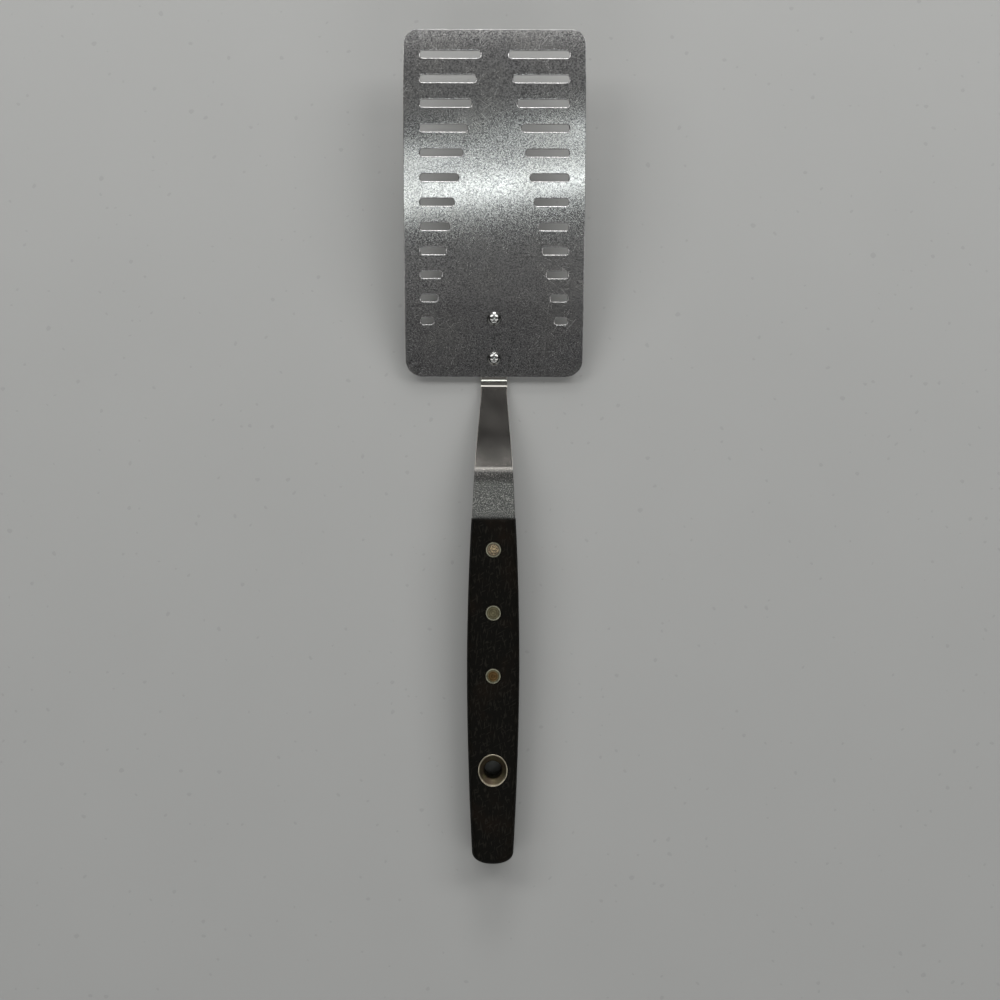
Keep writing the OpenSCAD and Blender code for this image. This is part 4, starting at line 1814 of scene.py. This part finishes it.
@dataclass
class Blade:
    """The slotted sheet: flat over the seat, then bowed. Sizes in millimetres."""

    length: float = 136.5
    width: float = 70.2
    thick: float = 1.0
    bow_r: float = 215.0
    front_corner_r: float = 5.5
    heel_corner_r: float = 7.0
    corner_steps: int = 14
    roll: float = 0.17
    slot_w: float = 2.75
    slot_roll: float = 0.45
    slot_power: float = 3.0
    slot_pitch: float = 9.4
    longest_slot: float = 23.1
    shortest_slot: float = 4.7
    side_margin: float = 6.45
    front_margin: float = 9.7
    slot_rows: int = 12
    slot_corners: int = 46
    row_margin: float = 0.5
    across_margin: float = 2.0
    across_points: int = 24
    seat_rows: int = 9
    bow_rows: int = 45
    spot_spacing: float = 2.6
    spot_gap: float = 0.9
    rivet_back: float = 7.7
    rivet_pitch: float = 16.5
    dome_d: float = 5.9
    dome_h: float = 1.9
    dome_steps: int = 12
    body_d: float = 3.2
    tail_d: float = 5.2
    tail_h: float = 1.2
    rivet_steps: int = 48
    crease_angle: float = 50.0
    sheet: Finish = field(default_factory=BrushedSteel)
    dome: Finish = field(default_factory=PolishedSteel)

    def path(self, shank: Shank, handle: Handle) -> BentPath:
        """The middle line of the sheet, which begins at the heel edge.

        Args:
            shank: the shank.
            handle: the handle.

        Returns:
            The path.
        """
        middle = np.array([[0.0, shank.seat_start(handle), (shank.thick + self.thick) / 2]])
        ((_, y, z),) = shank.path(handle).carry(middle)
        run = self.length - shank.seat_len
        bow = Stretch(run, -math.degrees(run / self.bow_r))
        return BentPath((y, z), shank.rise, [Stretch(shank.seat_len), bow])

    def outline(self, rows: Array) -> Loop:
        """The sheet's outline, laid out flat, with the heel edge at 0.

        Args:
            rows: places along the sheet where the mesh has a row.

        Returns:
            The outline's loop.
        """
        half, front, heel = self.width / 2, self.front_corner_r, self.heel_corner_r
        low, high = heel + self.row_margin, self.length - front - self.row_margin
        side = rows[(rows > low) & (rows < high)]
        right = np.column_stack([np.full(len(side), half), side])
        reach = half - heel - self.across_margin
        across = np.linspace(-reach, reach, self.across_points)
        far, steps = self.length - front, self.corner_steps
        return traced(
            np.concatenate(
                [
                    right,
                    arc((half - front, far), front, 0, 90, steps),
                    np.column_stack([across[::-1], np.full(len(across), self.length)]),
                    arc((front - half, far), front, 90, 180, steps),
                    right[::-1] * (-1, 1),
                    arc((heel - half, heel), heel, 180, 270, steps),
                    np.column_stack([across, np.zeros(len(across))]),
                    arc((half - heel, heel), heel, 270, 360, steps),
                ]
            )
        )

    def slot_loops(self) -> list[Loop]:
        """The slots' outlines, drawn by their rule.

        Returns:
            A loop for each slot.
        """
        values = {
            "Rows": self.slot_rows,
            "Corners": self.slot_corners,
            "Half width": self.width / 2,
            "Front row": self.length - self.front_margin,
            "Pitch": self.slot_pitch,
            "Longest": self.longest_slot,
            "Shortest": self.shortest_slot,
            "Side margin": self.side_margin,
            "Slot width": self.slot_w,
            "End power": self.slot_power,
        }
        drawn = run_tree(slot_rows_tree(), values, "slot outlines")
        places = np.zeros(len(drawn.data.vertices) * 3, np.float32)
        drawn.data.vertices.foreach_get("co", places)
        bpy.data.objects.remove(drawn)
        places = places.reshape(-1, self.slot_corners, 3)[:, ::-1, :2].astype(float)
        return [traced(outline, self.slot_roll) for outline in places]

    def build(self, shank: Shank, handle: Handle, rest: Rest) -> Piece:
        """The sheet in its finish, standing for the CAD's.

        Args:
            shank: the shank.
            handle: the handle.
            rest: how the spatula lies.

        Returns:
            The piece.
        """
        seat = np.linspace(0, shank.seat_len, self.seat_rows)[:-1]
        rows = np.concatenate([seat, np.linspace(shank.seat_len, self.length, self.bow_rows)])
        loops = [self.outline(rows), *self.slot_loops()]
        spots = plate_spots(loops, self.roll, rows, self.spot_spacing, self.spot_gap)
        path, sizes = self.path(shank, handle), (self.thick, self.roll)
        made = bent_plate("slotted_blade", path, rest, loops, spots, sizes)
        self.sheet.dress(made)
        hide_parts("blade")
        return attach(made, "root")

    def rivet(self, grip: float) -> Piece:
        """One rivet about its own axis, in metres, with its dome on the sheet's upper face.

        Args:
            grip: the thickness that it holds together.

        Returns:
            The pattern of a rivet.
        """
        dome_r, tail_r, end = self.dome_d / 2, self.tail_d / 2, -grip - self.tail_h
        ball = (dome_r**2 + self.dome_h**2) / (2 * self.dome_h)
        turns = [math.asin(dome_r / ball) * i / self.dome_steps for i in range(self.dome_steps)]
        dome = [(ball * math.sin(t), self.dome_h - ball + ball * math.cos(t)) for t in turns]
        foot = [(dome_r - 0.02, 0.12), (dome_r - 0.1, 0.0)]
        body = [(self.body_d / 2, 0.0), (self.body_d / 2, -grip)]
        swell = [(tail_r - 0.15, -grip), (tail_r, -grip - 0.15)]
        tail = [(tail_r * 0.95, -grip - self.tail_h * 0.7), (tail_r * 0.82, end), (0.0, end)]
        points, faces = lathe([*dome, *foot, *body, *swell, *tail], self.rivet_steps)
        made = mesh_object("blade rivet pattern", points * MM, faces)
        sharpen(made, self.crease_angle)
        return made

    def rivets(self, shank: Shank, handle: Handle, rest: Rest, tree: Tree) -> Piece:
        """The two rivets that hold the blade to the shank, standing for the CAD's.

        Args:
            shank: the shank.
            handle: the handle.
            rest: how the spatula lies.
            tree: the rule of a row of rivets.

        Returns:
            The piece.
        """
        along = [self.rivet_back + i * self.rivet_pitch for i in (0, 1)]
        flat = np.array([[0.0, at, self.thick / 2] for at in along])
        ends = rest.place(self.path(shank, handle).carry(flat))
        row = RivetRow(tree, len(along), ends, rest.tilt + math.radians(shank.rise))
        made = row.build("blade_rivets", self.rivet(self.thick + shank.thick), self.dome)
        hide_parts("blade_rivet_rear", "blade_rivet_front")
        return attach(made, "root")


@dataclass
class Spatula:
    """The whole tool, with what its parts share."""

    handle: Handle = field(default_factory=Handle)
    eyelet: Eyelet = field(default_factory=Eyelet)
    shank: Shank = field(default_factory=Shank)
    blade: Blade = field(default_factory=Blade)

    def rest(self) -> Rest:
        """How it lies: on its heel bend and on the rounded end of the lower scale.

        Returns:
            The tilt, the lift and the middle of the whole length.
        """
        handle, shank = self.handle, self.shank
        middle = np.array([[0.0, shank.seat_start(handle), shank.heel_bend_r]])
        ((_, bend_y, bend_z),) = shank.path(handle).carry(middle)
        heel_r = shank.heel_bend_r + shank.thick / 2
        end_y, end_z = handle.edge_r - handle.length, handle.edge_r - handle.half_h
        run, climb = bend_y - end_y, bend_z - end_z
        lean = math.asin((heel_r - handle.edge_r) / math.hypot(run, climb))
        tilt = lean - math.atan2(climb, run)
        lift = handle.edge_r - end_y * math.sin(tilt) - end_z * math.cos(tilt)
        blade_end = self.blade.path(shank, handle).at(np.array([self.blade.length]))
        front_y, front_z = blade_end[0][0], blade_end[1][0]
        front = front_y * math.cos(tilt) - front_z * math.sin(tilt)
        return Rest(tilt, lift, (front - handle.length * math.cos(tilt)) / 2)

    def build(self) -> None:
        """Builds every piece and reports it."""
        rest, row = self.rest(), rivet_row_tree()
        handle, eyelet, shank, blade = self.handle, self.eyelet, self.shank, self.blade
        makers: list[Callable[[], Piece]] = [
            lambda: blade.build(shank, handle, rest),
            lambda: blade.rivets(shank, handle, rest, row),
            lambda: shank.build(handle, eyelet, rest),
            lambda: handle.scale(Side.TOP, eyelet, rest),
            lambda: handle.scale(Side.BOTTOM, eyelet, rest),
            lambda: handle.rivets(Side.TOP, rest, row),
            lambda: handle.rivets(Side.BOTTOM, rest, row),
            lambda: eyelet.build(handle, rest),
        ]
        for make in makers:
            made = make()
            log.info("%s: %d faces", made.name, len(made.data.polygons))


# The studio


@dataclass(frozen=True)
class Panel:
    """A soft light that faces straight down: its place, widths along X and Y, and radiance.

    Lengths are in metres, and the turn about Z is in degrees.
    """

    name: str
    place: tuple[float, float, float]
    wide_x: float
    wide_y: float
    radiance: float
    turn: float = 0.0
    tint: tuple[float, float, float] = (1.0, 1.0, 1.0)

    def hang(self) -> None:
        """Adds the light."""
        lamp = bpy.data.lights.new(self.name, "AREA")
        lamp.shape = "RECTANGLE"
        lamp.size, lamp.size_y = self.wide_x, self.wide_y
        lamp.energy = self.radiance * math.pi * self.wide_x * self.wide_y
        lamp.color = self.tint
        made = linked(self.name, lamp)
        made.location = self.place
        made.rotation_euler = (0.0, 0.0, math.radians(self.turn))
        made.visible_camera = False


TUBE_TINT = (0.94, 1.0, 0.99)


@dataclass
class Studio:
    """The worktop, the lights over it and the camera above the spatula. Sizes in metres."""

    eye: tuple[float, float, float] = (0.0025, -0.01876, 0.8)
    roll: float = 0.16
    lens: float = 72.0
    sensor: float = 36.0
    clip: Span = (0.05, 20.0)
    floor_reach: float = 3.0
    floor: Finish = field(default_factory=PaintedBoard)
    panels: tuple[Panel, ...] = (
        Panel("upper tube", (-0.258, -0.486, 6.0), 3.0, 0.36, 3.0, turn=42.8, tint=TUBE_TINT),
        Panel("lower tube", (0.245, -1.029, 6.0), 3.0, 0.36, 4.3, turn=42.8, tint=TUBE_TINT),
        Panel("far strip", (0.0, 3.72, 6.0), 3.6, 1.2, 2.1),
        Panel("front", (0.0, 1.22, 0.9), 2.16, 0.63, 1.1),
        Panel("low front", (0.0, 1.47, 0.6), 0.54, 0.9, 11.0),
        Panel("left side", (-0.83, 0.68, 0.9), 1.03, 0.45, 4.6),
        Panel("right side", (0.83, 0.68, 0.9), 1.03, 0.45, 4.9),
        Panel("rear left", (-1.61, -1.1, 1.7), 2.21, 0.85, 1.8),
        Panel("rear right", (1.61, -1.1, 1.7), 2.21, 0.85, 2.1),
        Panel("low rear", (0.0, -2.94, 1.2), 3.6, 1.8, 1.6),
        Panel("ceiling", (0.0, -1.2, 6.0), 10.8, 8.4, 0.115),
    )
    card_reach: Span = (0.2, 0.6)
    card_z: float = 5.9
    card: Finish = field(default_factory=BlackCard)
    room: float = 0.02
    backdrop: float = 0.4

    def board(self, name: str, corners: Sequence[tuple[float, float, float]], finish: Finish) -> None:
        """Adds a flat board to the studio.

        Args:
            name: the board's name.
            corners: its corners in order.
            finish: its finish.
        """
        made = mesh_object(name, np.array(corners), [(0, 1, 2, 3)])
        finish.dress(made)

    def light_room(self) -> None:
        """Gives the room its dim light, and the camera a paler backdrop."""
        world = bpy.data.worlds.new("room")
        world.use_nodes = True
        tree = world.node_tree
        tree.nodes.clear()
        seen = put(tree, "ShaderNodeLightPath").outputs["Is Camera Ray"]
        levels = {"Factor": seen, "A": self.room, "B": self.backdrop}
        strength = put(tree, MIX, levels, data_type="FLOAT")
        light = put(tree, "ShaderNodeBackground", {"Color": (1.0, 1.0, 1.0, 1.0), "Strength": strength})
        put(tree, "ShaderNodeOutputWorld", {"Surface": light})
        bpy.context.scene.world = world

    def set_camera(self) -> None:
        """Hangs the camera over the spatula, looking straight down."""
        eye = bpy.data.cameras.new("eye")
        eye.lens, eye.sensor_width = self.lens, self.sensor
        eye.clip_start, eye.clip_end = self.clip
        camera = linked("eye", eye)
        camera.location = self.eye
        camera.rotation_euler = (0.0, 0.0, math.radians(self.roll))
        bpy.context.scene.camera = camera

    def build(self) -> None:
        """Sets up the worktop, the lights, the room and the camera."""
        side = self.floor_reach
        floor = [(-side, -side, 0.0), (side, -side, 0.0), (side, side, 0.0), (-side, side, 0.0)]
        self.board("worktop", floor, self.floor)
        for panel in self.panels:
            panel.hang()
        (x, y), z = self.card_reach, self.card_z
        self.board("black_card", [(-x, -y, z), (-x, y, z), (x, y, z), (x, -y, z)], self.card)
        self.light_room()
        bpy.context.scene.view_settings.view_transform = "Standard"
        self.set_camera()


def main() -> None:
    """Builds the studio and the spatula."""
    logging.basicConfig(level=logging.INFO, format="%(name)s: %(message)s")
    Studio().build()
    Spatula().build()


if __name__ == "__main__":
    main()
